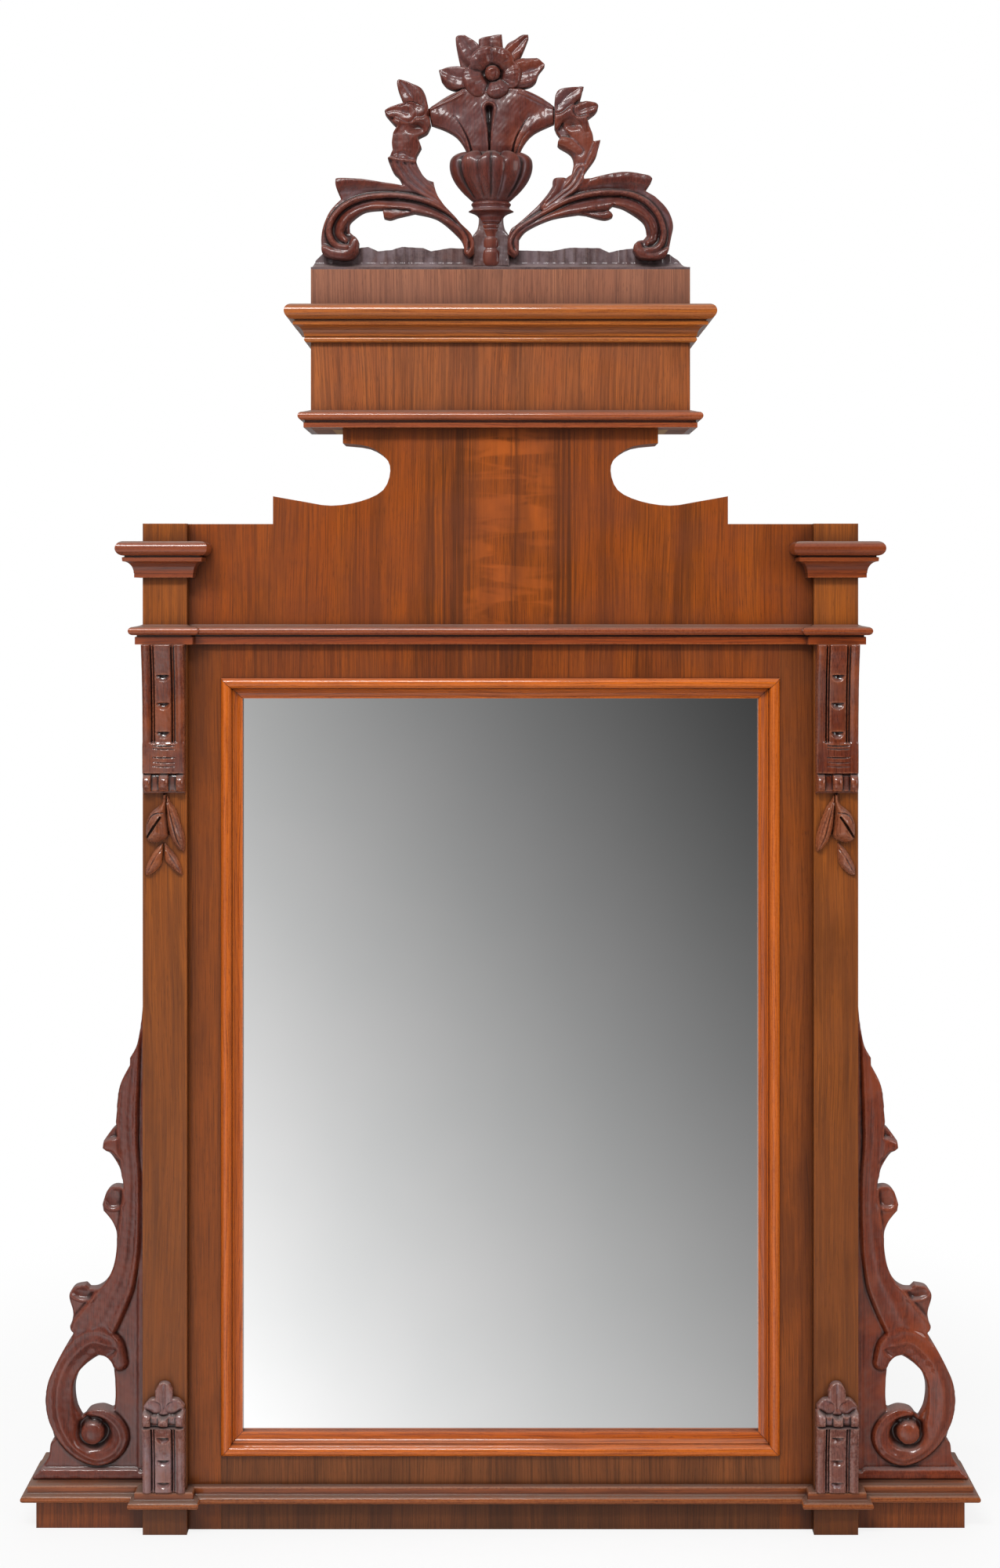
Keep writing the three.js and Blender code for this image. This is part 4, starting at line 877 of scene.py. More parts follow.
# A carved board seen from the front. Its grid covers an outline, its height field (millimetres
# forward of the back) is a base worked over by strokes, each a cross section carried along a
# spline.
class Carving:

    def __init__(self, loops, pitch, thickness):
        loops = [np.asarray(loop, float) for loop in loops]
        self.starts = np.concatenate(loops)
        self.ends = np.concatenate([np.roll(loop, -1, 0) for loop in loops])
        low, high = self.starts.min(0) - pitch, self.starts.max(0) + pitch
        x, z = np.meshgrid(np.arange(low[0], high[0] + pitch, pitch),
                           np.arange(low[1], high[1] + pitch, pitch), indexing="ij")
        self.shape, self.pitch = x.shape, pitch
        points = np.stack([x.ravel(), z.ravel()], -1)
        away, segment, share = nearestOn(points, self.starts, self.ends)
        within = insideOf(points, self.starts, self.ends) & (away > pitch * 0.3)
        onLine = self.starts[segment] + share[:, None] * (self.ends - self.starts)[segment]
        self.points = np.where(within[:, None], points, onLine)
        self.edge = np.where(within, away, 0.0)
        self.within = within
        self.height = np.full(len(points), float(thickness))

    # Swells the board away from its outline.
    def pillow(self, rise, reach):
        self.height += rise * (1 - np.exp(-self.edge / reach))

    # Side offset in half widths (left of the path is positive) and share of its length.
    def along(self, path, widths):
        line = spline(path, 8)
        margin = max(widths) + 1.0
        close = ((self.points > line.min(0) - margin) & (self.points < line.max(0) + margin)).all(1)
        starts, ends = line[:-1], line[1:]
        away, segment, share = nearestOn(self.points[close], starts, ends)
        steps = np.hypot(*(ends - starts).T)
        travelled = np.concatenate([[0], np.cumsum(steps)])
        length = (travelled[segment] + share * steps[segment]) / travelled[-1]
        half = np.interp(length, np.linspace(0, 1, len(widths)), widths)
        way = (ends - starts)[segment]
        offset = self.points[close] - starts[segment]
        left = np.sign(way[:, 0] * offset[:, 1] - way[:, 1] * offset[:, 0])
        results = np.full((3, len(self.points)), 9.0)
        results[:, close] = left * away / half, length, half / max(widths)
        return results

    # Lays one cross section along a path, over what is there, or added to it.
    def stroke(self, kind, path, widths, height, base, flip=False, soft=0.14, add=False):
        side, length, share = self.along(path, widths)
        if flip:
            side = -side
        if kind == "round":
            form = np.sqrt(np.clip(1 - side ** 2, 0, 1))
        else:
            form = np.interp(side, *crossSections[kind])
        cover = np.clip((1 - np.abs(side)) / soft, 0, 1)
        cover = cover * cover * (3 - 2 * cover)
        rise = height * form * np.sqrt(share)
        if add:
            self.height += rise * cover
        else:
            self.height += (base + rise - self.height) * cover
        return side, length

    # A round button: half an ellipsoid standing on base.
    def dome(self, centre, radius, height, base):
        across, up = ((self.points - np.array(centre, float)) / radius).T
        span = across ** 2 + up ** 2
        rise = base + height * np.sqrt(np.clip(1 - span, 0, 1))
        self.height = np.where(span < 1, np.maximum(self.height, rise), self.height)

    # A groove round an eye.
    def ring(self, centre, radii, depth, width):
        offset = (self.points - np.array(centre, float)) / np.array(radii, float)
        span = np.abs(np.hypot(*offset.T) - 1) * min(radii) / width
        self.height -= depth * np.exp(-span ** 2)

    # The height field averaged over a radius, inside the outline only.
    def blurred(self, reach):
        weight = self.within.reshape(self.shape).astype(float)
        field = self.height.reshape(self.shape) * weight

        def spread(count):
            step = (np.arange(count)[:, None] - np.arange(count)[None]) * self.pitch
            return np.exp(-(step / reach) ** 2)

        first, second = spread(self.shape[0]), spread(self.shape[1])
        total = first @ weight @ second
        return ((first @ field @ second) / np.maximum(total, 1e-9)).ravel()

    # Takes the sharpness off all edges.
    def soften(self, reach):
        self.height = self.blurred(reach)

    # The slight unevenness that gouges leave.
    def tooled(self, amount, seed):
        rng = np.random.default_rng(seed)
        x, z = self.points.T
        for size in (19.0, 9.0, 4.5):
            turns = rng.uniform(0, 2 * math.pi, (4, 2))
            for heading, phase in turns:
                wave = np.sin((x * math.cos(heading) + z * math.sin(heading)) * 2 * math.pi
                              / size + phase)
                self.height += amount * size / 19 * 0.5 * wave

    # Turns the height field into a closed mesh: front, walls and flat back.
    def piece(self, name, node, back, material, place, rounding):
        inward = np.clip(1 - self.edge / rounding, 0, 1)
        height = self.height - rounding * (1 - np.sqrt(1 - inward ** 2))
        height = np.maximum(height, 1.2)
        self.height = height
        # Hollow is depth under the blurred field and ridge is height over it; the materials darken
        # the hollow as grime and painted shade (the walls at 0.25) and lighten the ridge as rubbed
        # wear. Near the outline the hollow is cleared and the ridge raised: a painted highlight
        # along the silhouette.
        near, far = self.blurred(1.8), self.blurred(5.0)
        hollow = np.maximum((near - height) / 0.7, (far - height) / 2.6)
        ridge = np.maximum((height - near) / 0.6, (height - far) / 3.4 - 0.15)
        lip = np.exp(-(self.edge / 1.6) ** 2)
        hollow = np.clip(hollow, 0, 1) * (1 - lip) * np.clip(self.edge / 3.5, 0, 1)
        ridge = np.maximum(np.clip(ridge, 0, 1), 0.75 * lip)

        index = np.arange(len(height)).reshape(self.shape)
        quads = np.stack([index[:-1, :-1].ravel(), index[1:, :-1].ravel(),
                          index[1:, 1:].ravel(), index[:-1, 1:].ravel()], -1)
        quads = quads[self.within[quads].any(1)]
        used = np.unique(quads)
        lookup = np.zeros(len(height), int)
        lookup[used] = np.arange(len(used))
        quads = lookup[quads]
        count = len(used)
        a = quads.ravel()
        b = np.roll(quads, -1, 1).ravel()
        rim = ~np.isin(a * count + b, b * count + a)
        a, b = a[rim], b[rim]
        walls = np.stack([b, a, a + count, b + count], -1)
        x, z = place(*self.points[used].T)
        front = toMetres(x, back + height[used], z)
        rear = toMetres(x, np.full(count, float(back)), z)
        faces = np.concatenate([quads, quads[:, ::-1] + count, walls])
        tone = {"hollow": np.concatenate([hollow[used], np.full(count, 0.25)]),
                "ridge": np.concatenate([ridge[used], np.zeros(count)])}
        makePiece(name, np.concatenate([front, rear]), faces, node, material, tone, 50)


crestBack, crestThickness = 62, 13
wingBack, wingThickness = 50, 16


def onCrest(x, z):
    return x, places["crestBase"] + z


# crest scrolls: outlines in millimetres from the middle and up from the attic block
scrolls = {
    "left": {
        "outline": [
            [(-29.5, 20), (-29.5, 32), (-33, 41.5), (-43.5, 52), (-52.5, 62.5), (-64, 75),
             (-71.5, 87), (-75, 100.5)],
            [(-83, 103), (-87.5, 108), (-92.5, 118), (-94.5, 124), (-93.5, 130)],
            [(-88.5, 139), (-92.5, 149.5)],
            [(-87.5, 152), (-81.8, 155.5), (-77.8, 164)],
            [(-81, 185), (-86.5, 202.5), (-99.5, 209.5), (-112, 214), (-115.5, 211.5),
             (-114.5, 203.5), (-108.5, 188)],
            [(-115.5, 186), (-125, 182.5), (-129.5, 178), (-122.5, 168.5), (-115.5, 161.5)],
            [(-120, 154.5), (-121.5, 144), (-120.5, 135.5)],
            [(-126, 125.5), (-120, 111.5), (-113.5, 104.5), (-109.5, 96)],
            [(-155.5, 103), (-181, 104), (-184.5, 100.5), (-183.5, 92.5), (-178.5, 81)],
            [(-183.5, 76.5), (-191.5, 67), (-197.5, 54), (-200.5, 41), (-200.5, 28.5),
             (-197.5, 18), (-179.5, 13), (-166, 14), (-159, 21.5)],
            [(-158.5, 33), (-162, 38), (-169, 44.5)],
            [(-169.5, 50.5), (-167, 56.5), (-152, 67), (-132, 69.5)],
            [(-130.5, 60), (-123.5, 58.5), (-115.5, 61)],
            [(-96, 65.5), (-70, 58.5), (-47, 39), (-41, 28.5)],
            [(-40.5, 20), (-35, 15.5)],
        ],
        "strokes": [
            ("leaf", [(-82, 86.5), (-105, 92.5), (-127, 96.5), (-148.5, 98.5), (-168, 99),
                      (-182, 97)], [2, 4, 6, 8, 9, 9], 4.5, -1),
            ("arm", [(-36, 24.5), (-36.5, 38), (-47, 51.5), (-70, 64.5), (-96, 72.5),
                     (-122.5, 75), (-140, 76.5), (-160, 71.5), (-173, 63.5), (-180, 53),
                     (-182, 42.5), (-176.5, 34.5)],
             [7, 7, 7, 7.5, 9.5, 10.5, 9.5, 9, 9.5, 9, 8, 6], 6.5, -2.5),
            ("round", [(-197, 24.5), (-187, 20), (-175, 19), (-165.5, 24.5), (-162, 34)],
             [5, 7, 8, 8, 6], 5.5, -1),
            ("round", [(-36, 19), (-32, 25), (-32, 33), (-36, 44), (-47, 56), (-61, 67.5),
                       (-80.5, 77), (-98, 82), (-120, 84.6), (-146, 83), (-163.5, 78.5),
                       (-178, 70), (-188, 58), (-192, 46), (-189.5, 35), (-183, 28),
                       (-172, 26)], [2.4, 2.6, 2.6, 2.8, 3, 3, 3, 3.2, 3.4, 3.4, 3.4, 3.6, 3.6],
             3.4, 1.5),
            ("round", [(-103, 65), (-117, 63.5), (-129.5, 64.5)], [4, 7, 6], 4, -3),
            ("round", [(-108, 119), (-106.5, 135), (-104, 150), (-99, 163)],
             [15, 17, 19, 19], 4.5, -0.5),
            ("sheath", [(-109.5, 121), (-99, 105), (-86, 93), (-68, 80), (-50, 64)],
             [13, 12, 9, 6, 3.5], 4, 0.5),
            ("round", [(-126, 126.5), (-112, 123.5), (-95.5, 122)], [1.8, 2.2, 1.8], 2.2, 3),
            ("round", [(-119, 160), (-112, 168), (-99, 171.5), (-86, 167), (-80, 158)],
             [6, 8.5, 9.5, 8.5, 6], 4.6, 1),
            ("creased", [(-92, 183), (-101.5, 198), (-111, 211)], [14, 15, 10], 3.6, 0.4),
            ("creased", [(-104, 176), (-116, 179.5), (-127, 178)], [12, 10, 7], 3.6, 0),
        ],
        "hollows": [((-172, 42), (8, 6), 4), ((-95, 160), (9, 4.5), 4.5)],
        "crack": [(-121, 189), (-112, 184), (-100, 189), (-88, 184)],
    },
    "right": {
        "outline": [
            [(8, 20), (8, 34.5), (11.5, 47), (17.5, 52), (28, 61), (42, 74), (52.5, 86.5),
             (58.5, 96)],
            [(58.5, 101), (61, 104), (73.5, 104.5)],
            [(79.5, 107.5), (82, 120.5), (80.5, 128.5), (76, 133.5), (66.5, 139)],
            [(64, 141.5), (64.5, 145), (67.5, 149.5)],
            [(63, 155.5), (60.6, 161)],
            [(60.6, 190), (62, 197.5), (68, 203.5), (91, 206), (92, 202.5), (89, 190.5)],
            [(100.5, 189.5), (106.5, 188), (109.5, 184.5), (106.5, 178), (97, 170.5)],
            [(99.5, 161.5), (103, 153), (104, 145)],
            [(112, 146.5), (110, 139), (106, 126.5), (94.5, 110), (93.5, 103)],
            [(101.5, 104), (135.5, 111), (162, 108), (169, 104.5), (169, 100.5),
             (162.5, 90.5)],
            [(173, 84.5), (183, 75), (190, 64.5), (193.5, 51.5), (191.5, 39), (187, 20),
             (179.5, 14), (168, 13), (155.5, 15), (148.5, 23.5)],
            [(149.5, 29.5), (155, 34.5), (160, 35.5)],
            [(164.5, 41), (160, 55.5), (140, 69.5), (126, 74)],
            [(120.5, 69), (125, 64.5), (125, 61), (115.5, 58.5), (96, 63.5)],
            [(87.5, 64.5), (57, 59), (30.5, 47), (21, 36.5)],
            [(20.5, 20), (15, 15.5)],
        ],
        "strokes": [
            ("leaf", [(80.5, 91.5), (105, 99), (127, 102.5), (147, 103), (165, 100)],
             [3, 6, 8.5, 9, 9], 4.5, -1),
            ("arm", [(15.5, 24.5), (14, 36.5), (24.5, 48.5), (52.5, 63), (78.5, 71.5),
                     (105, 76), (127.5, 79), (149.5, 75.5), (166, 65), (174, 52),
                     (173, 39), (168, 32)],
             [7, 7, 7, 8, 10, 12, 11, 11, 11, 10, 9, 6], 6.5, -2.5),
            ("round", [(186.5, 22.5), (177.5, 17.5), (166, 15.5), (155.5, 21), (152, 28.5)],
             [5, 6, 8, 8, 6], 5.5, -1),
            ("round", [(17, 18), (12, 25), (11.5, 35), (20, 47), (36, 57.5), (52, 67),
                       (78.5, 80), (109, 87), (139.5, 86.5), (161, 78.5), (175.5, 64),
                       (182, 47), (181, 33), (175, 25), (164, 22.5)],
             [2.4, 2.6, 2.6, 2.8, 3, 3, 3, 3.2, 3.4, 3.4, 3.6, 3.6], 3.4, 1.5),
            ("round", [(92, 63.5), (108.5, 61.5), (122, 62.5)], [3, 6, 6], 4, -3),
            ("round", [(91, 104), (94, 122), (95, 139), (90, 155.5), (82, 166)],
             [10, 12, 14.5, 15, 13], 4.5, -0.5),
            ("creased", [(96, 110), (104, 126), (109.5, 143)], [7, 8, 5], 3.4, 0),
            ("round", [(88, 134), (77, 142), (67.5, 145)], [6, 7.5, 6], 3.6, 0.4),
            ("sheath", [(89, 113), (80, 97), (66, 85), (49, 71)], [9, 9, 7.5, 4], 4, 0.5),
            ("round", [(66.5, 103), (63.5, 91), (51, 77)], [6.5, 5, 3], 3, 0),
            ("round", [(60.5, 163), (67, 173), (80.5, 177.5), (93, 171), (96, 160)],
             [6, 8, 9, 8, 6], 4.6, 1),
            ("creased", [(64, 184.5), (75, 196), (87, 204)], [11, 13, 10], 3.6, 0.4),
            ("creased", [(88, 179), (98, 182.5), (108, 184)], [8, 9, 6], 3.6, 0),
        ],
        "hollows": [((165, 40), (9, 6), 4), ((80, 163), (9, 4.5), 4.5)],
    },
}


# One arm of the crest: a swelling band with one long bead over it, a leaf on its back, a
# creased sheath, an upright stalk with a collar, a curled cup and two petals.
def makeScroll(word, look):
    carving = Carving([outlineOf(look["outline"])], 0.8, crestThickness - 2.5)
    carving.pillow(1.5, 4)
    for kind, path, widths, height, base in look["strokes"]:
        carving.stroke(kind, path, widths, height, crestThickness + base, word == "right")
    for centre, radii, depth in look["hollows"]:
        offset = (carving.points - np.array(centre, float)) / np.array(radii, float)
        carving.height -= depth * np.exp(-(offset ** 2).sum(1))
    carving.soften(1.1)
    if "crack" in look:
        carving.stroke("lipped", look["crack"], [0.7, 0.8, 0.7], 1.1, 0, add=True)
    carving.tooled(0.16, 4 + len(word))
    carving.piece(f"scroll_{word}_carving", f"crest_scroll_{word}", crestBack,
                  stains["crestStain"], onCrest, 1.5)


for word, look in scrolls.items():
    makeScroll(word, look)
print("scrolls carved")

flower = {
    "leaves": [
        ([[(-42, 222), (-46, 236), (-50, 257), (-48.5, 264), (-40, 265)],
          [(-30, 259), (-22, 251), (-12, 232)]],
         [(-24.5, 235), (-35, 251), (-43.5, 262)], [9.5, 12, 9]),
        ([[(-22, 240), (-24.5, 258), (-21.5, 261.5), (-10, 264.5), (1.5, 265.5)],
          [(3, 250), (2, 236)]], [(-10.5, 242), (-10.5, 255), (-10.5, 263)], [14, 13, 13]),
        ([[(-2, 236), (4.5, 250.5), (9, 257), (17, 261), (23, 265), (31, 265.5)],
          [(31.5, 262), (26, 248), (20, 236), (10, 222)]],
         [(7, 238.5), (19, 251.5), (29, 262)], [9, 8, 5]),
        ([[(8, 234), (21, 239), (41, 240)],
          [(47, 235), (49.5, 231), (43, 222), (39, 212), (29.5, 206.4), (6, 203)]],
         [(10.5, 221), (30.5, 223.5), (46.5, 231.5)], [14, 15, 8]),
        ([[(-34, 228), (-48, 230), (-58, 229), (-69, 226)],
          [(-66, 214), (-60, 207), (-51, 203.5), (-42, 205)], [(-22, 206)]],
         [(-31.5, 216), (-50.5, 218.5), (-66.5, 225.5)], [12, 13, 6]),
    ],
    "centre": (-8.9, 221.8), "button": 8.8,
    # heading, half spread and reach of each petal, and how far it lies forward
    "petals": [(125, 50, 31, 1.9), (60, 50, 30, 1.7), (-6, 40, 33, 0), (-72, 40, 28.5, 0.8),
               (206, 46, 35, 0.4)],
    "cup": [(0, .1), (.3, .2), (.42, .62), (.72, 1), (.9, .95), (1, .7)],
}


# Five creased leaves in one plane and, before them, five cupped petals that overlap round a
# button. A petal's height falls with the square root of one less its turn squared.
def makeFlower(look):
    leafHeight = 9
    for order, (runs, path, widths) in enumerate(look["leaves"]):
        leaf = Carving([outlineOf(runs)], 0.7, leafHeight - 2)
        leaf.stroke("creased", path, [1.35 * width for width in widths], 4, leafHeight - 1,
                    soft=0.4)
        leaf.soften(1.2)
        leaf.tooled(0.25, order)
        leaf.piece(f"flower_leaf_{order + 1}", "crest_flower", crestBack + 0.1 * order,
                   stains["crestStain"], onCrest, 1.6)
    middle = np.array(look["centre"], float)

    def turned(angles, heading, spread):
        return ((angles - math.radians(heading) + math.pi) % (2 * math.pi) - math.pi
                ) / math.radians(spread)

    around = np.linspace(0, 2 * math.pi, 144, endpoint=False)
    reach = np.full(len(around), 23.0)
    for heading, spread, length, forward in look["petals"]:
        turn = np.abs(turned(around, heading, spread))
        reach = np.maximum(reach, length * (1 - 0.3 * np.clip(turn, 0, 1) ** 3) * (turn < 1))
    rim = middle + reach[:, None] * np.stack([np.cos(around), np.sin(around)], -1)
    head = Carving([rim], 0.6, 9)
    offset = head.points - middle
    away = np.hypot(*offset.T)
    angles = np.arctan2(offset[:, 1], offset[:, 0])
    head.height[:] = 7
    for heading, spread, length, forward in look["petals"]:
        turn = turned(angles, heading, spread)
        cup = np.interp(away / length, *np.array(look["cup"]).T)
        arch = np.clip(1 - turn ** 2, 0, 1) ** 0.4
        fold = sum(np.exp(-((turn - line) / 0.1) ** 2) for line in (-0.4, 0.25))
        form = 6 + (1.6 * forward + 9.5 * cup) * arch - 0.6 * fold * cup
        head.height = np.maximum(head.height, form * (np.abs(turn) < 1))
    head.soften(0.8)
    head.dome(middle, look["button"], 8, 9.5)
    head.height -= 1.6 * np.exp(-(away / 3.4) ** 2)
    head.tooled(0.3, 9)
    head.piece("flower_head", "crest_flower", crestBack + 0.6, stains["crestStain"], onCrest, 2)


makeFlower(flower)
print("flower carved")

urn = {
    "axis": -10.5, "flatness": 0.58,
    "neck": [(57, 12.4), (60, 13.4), (63, 15), (65.2, 18), (66.8, 22), (68, 25), (69, 25.2),
             (70.2, 23), (72, 20.8), (74, 21), (76.4, 22.4), (78.4, 21.2), (79.6, 20)],
    "bowl": [(79.6, 20.5), (81, 22.5), (84, 25.5), (90, 31.5), (98, 38), (106, 42.6),
             (114, 45.2), (121, 45.8), (127, 44.6), (131.5, 40.5), (134.5, 33), (135.5, 22)],
    # where the lobes and the dip of their tops set in, and over what height
    "lobes": (79, 9), "dip": (104, 30),
    # angles between the lobes, how deep each is drawn in, and how far the top dips there
    "creases": [(38, 0.075, 5), (70, 0.045, 7), (90, 0.07, 1), (110, 0.045, 7),
                (142, 0.075, 4)],
    "web": [[(-31, 6), (-31, 38), (-29.6, 43), (-26, 49), (-24.4, 57), (-24.6, 66)],
            [(3.6, 66), (3.4, 57), (5, 49), (8.6, 43), (10, 38), (10, 6)]],
    "column": [(6, 7), (9, 9.6), (12, 11), (17, 11.4), (23, 11), (26, 9.4), (27.5, 9),
               (29, 9.8), (33.5, 10.2), (38, 9.8), (39.5, 8.4), (42, 8.6), (46, 9.6),
               (48, 10.4), (49, 9.4), (50.5, 10.6), (53, 10.8), (54, 9.6), (55, 11), (57.5, 12),
               (59, 12.2), (66, 14.6)],
    "fan": [
        [(-46, 124), (-38, 133), (-47, 149), (-60, 158), (-77.5, 164.6)],
        [(-80.7, 182), (-73, 188.5), (-60, 197), (-43, 204), (-30, 206)],
        [(8, 206), (22, 204.5), (38, 199.5), (50, 193), (60.3, 185)],
        [(60.3, 166), (39, 156), (28, 145), (22, 132), (27, 124)],
    ],
    # soft swells of the fan: path, half widths, height
    "panels": [
        ([(-24.5, 130), (-28, 158), (-36, 182), (-46, 196)], [11, 17, 26, 26], 3),
        ([(0, 130), (4.5, 160), (12, 182), (22, 194)], [11, 17, 26, 26], 3),
        ([(-35, 134), (-42, 152), (-56, 168), (-76, 176)], [6, 9, 11, 11], 2),
        ([(17.5, 134), (24.5, 152), (40, 166), (58, 173)], [6, 9, 11, 10], 2),
    ],
    "grooves": [
        ([(-31.5, 131), (-36.5, 148), (-46, 166), (-53, 174)], [2.6, 2.2, 1.4, 0.6], 3),
        ([(-36, 131), (-42.5, 148), (-51, 158)], [1.8, 1.6, 0.6], 1.6),
        ([(13, 131), (17, 148), (26.5, 166), (33, 174)], [2.6, 2.2, 1.4, 0.6], 3),
        ([(17.5, 131), (24, 148), (32, 157)], [1.8, 1.6, 0.6], 1.6),
        ([(-12.4, 132), (-12.4, 158), (-12.6, 182)], [1.6, 3.6, 9], 9),
        ([(-76, 187), (-61, 196.5), (-46, 203)], [2.6, 4.6, 3], 4),
        ([(55, 190.5), (40, 200), (26, 205)], [2.6, 4.2, 3], 4),
    ],
    "rim": [
        ([(-80, 180.5), (-67.5, 186.5), (-54.5, 191.5), (-41, 199)], [1.3, 1.7, 1.7, 1.3], 1),
        ([(59, 183), (46, 188.5), (32, 195), (20, 200)], [1.3, 1.7, 1.7, 1.3], 1),
    ],
}


# Half of a turned body: the radius comes from the profile, the angle runs from side to
# side. A lobed one is drawn in at its creases, and its upper edge dips there. The seat keeps
# the flat backs of neighbours out of one plane.
def turnedHalf(name, profile, look, seat, lobed=False):
    heights, radii = spline(profile, 6).T
    turn = np.linspace(0, math.pi, 241 if lobed else 91)[None]
    swell = np.ones((len(heights), turn.shape[1]))
    dip = np.zeros(swell.shape)
    if lobed:
        fade, upper = (np.clip((heights - start) / over, 0, 1)[:, None]
                       for start, over in (look["lobes"], look["dip"]))
        for angle, depth, fall in look["creases"]:
            away = np.abs(turn - math.radians(angle))
            swell = swell - depth * fade * np.exp(-(away / 0.075) ** 1.2)
            dip = dip + fall * upper ** 2 * np.exp(-(away / 0.16) ** 2)
        swell = swell * (1 + 0.02 * fade * np.cos(turn * 2) ** 2)
    x = look["axis"] + radii[:, None] * swell * np.cos(turn)
    forward = crestBack + seat + radii[:, None] * swell * look["flatness"] * np.sin(turn)
    z = places["crestBase"] + heights[:, None] - dip
    rows = np.arange(len(heights))
    smooth = np.exp(-((rows[:, None] - rows[None]) / 3.0) ** 2)
    mean = smooth @ radii / smooth.sum(1)
    # Hollow and ridge tones from the radius against its smoothed mean, and on the bowl from its
    # creases: the material darkens the hollows as grime and painted shade.
    tone = np.broadcast_to(((mean - radii) / 0.9)[:, None], x.shape)
    if lobed:
        tone = tone * 0.4 + np.clip((1.004 - swell) / 0.06, 0, 1)
    makeTube(name, toMetres(x, forward, z), "crest_urn", stains["crestStain"],
             {"hollow": np.clip(tone, 0, 1), "ridge": np.clip(-tone, 0, 1)}, 60)


# A hollow web behind the turned stem, the turned neck, the lobed bowl, and the fan of four
# soft swells with a rim and tapering grooves.
def makeUrn(look):
    web = Carving([outlineOf(look["web"])], 0.55, 4)
    across = np.abs(web.points[:, 0] - look["axis"])
    web.height += 0.016 * np.clip(across - 7, 0, 99) ** 2 * np.clip(
        (52 - web.points[:, 1]) / 10, 0, 1)
    web.tooled(0.3, 21)
    web.piece("urn_web", "crest_urn", crestBack, stains["groundStain"], onCrest, 3)
    turnedHalf("urn_stem", look["column"], look, 0.2)
    turnedHalf("urn_neck", look["neck"], look, 0.4)
    turnedHalf("urn_bowl", look["bowl"], look, 0.6, lobed=True)
    fan = Carving([outlineOf(look["fan"])], 0.6, 10)
    for path, widths, height in look["panels"]:
        side = fan.along(path, widths)[0]
        fan.height += height * np.exp(-(side / 0.75) ** 2)
    for path, widths, depth in look["grooves"]:
        fan.stroke("lipped", path, widths, depth, 0, add=True)
    for path, widths, height in look["rim"]:
        fan.stroke("round", path, widths, height, 0, add=True)
    fan.height -= 3.5 * np.clip((140 - fan.points[:, 1]) / 16, 0, 1)
    fan.height = np.maximum(fan.height, 3)
    fan.soften(0.7)
    fan.tooled(0.16, 22)
    fan.piece("urn_fan", "crest_urn", crestBack + 0.3, stains["crestStain"], onCrest, 2.4)


makeUrn(urn)
print("urn carved")


# crest ground: a ledge that hollows back to an upright fluted board with a ragged top
ground = {
    "top": [(-211, 6), (-208, 14), (-200, 21.5), (-180, 25), (-159, 28), (-149, 29.5),
            (-138, 24.5), (-122, 26), (-111, 29.5), (-87, 28), (-78, 24.5), (-57, 28), (0, 26),
            (57, 24.5), (70, 27), (78, 28.5), (112, 28), (122, 23), (135, 26), (148, 27.5),
            (190, 21), (200, 14), (206, 7), (211, 5)],
    "hollow": (12.0, 9.5, 24.0), "lip": 2.5, "flute": 11.5, "fluteDepth": 1.8,
    "ledgeFace": 86, "back": 40,
}


# Grid over x and height: forward is the hollow's quarter ellipse, less a flute wave.
def makeGround(look):
    x = np.linspace(-places["friezeEdge"], places["friezeEdge"], 528)
    knots, levels = np.array(look["top"], float).T
    top = np.interp(x, knots, levels)
    share = np.linspace(0, 1, 30)[None]
    z = look["lip"] + (top[:, None] - look["lip"]) * share
    level, rise, depth = look["hollow"]
    inner = np.sqrt(np.clip(1 - (np.clip(level - z, 0, rise) / rise) ** 2, 0, 1))
    forward = look["ledgeFace"] - depth * inner
    rng = np.random.default_rng(31)
    drift = np.interp(x, np.linspace(knots[0], knots[-1], 30), rng.uniform(-4, 4, 30))
    power = np.interp(x, np.linspace(knots[0], knots[-1], 36), rng.uniform(0.25, 1, 36))
    wave = (np.abs(np.cos((x + drift) / look["flute"] * math.pi)) * power)[:, None]
    cut = look["fluteDepth"] * wave * np.clip((z - 5) / 6, 0, 1)
    forward = forward - cut + look["fluteDepth"] * 0.4
    ledge, back, foot = (np.full((len(x), 1), value)
                         for value in (look["ledgeFace"], look["back"], 0))
    forwardAll = np.concatenate([back, ledge, forward, back], 1)
    heightAll = np.concatenate([foot, foot, z, top[:, None]], 1)
    # Hollow tone, darkened by the material as grime and painted shade, in the flutes and low in the
    # hollow; the rest is lightened as rubbed wear.
    tone = np.zeros(forwardAll.shape)
    tone[:, 2:-1] = np.clip(wave * 0.4 * np.clip((z - 4) / 6, 0, 1) + (z < 12) * 0.15, 0, 1)
    ridge = np.clip(0.5 - tone, 0, 1) * 0.8
    makeTube("ground_carving", toMetres(x[:, None], forwardAll, places["crestBase"] + heightAll),
             "crest_ground", stains["groundStain"], {"hollow": tone, "ridge": ridge}, 55)


makeGround(ground)
print("ground carved")

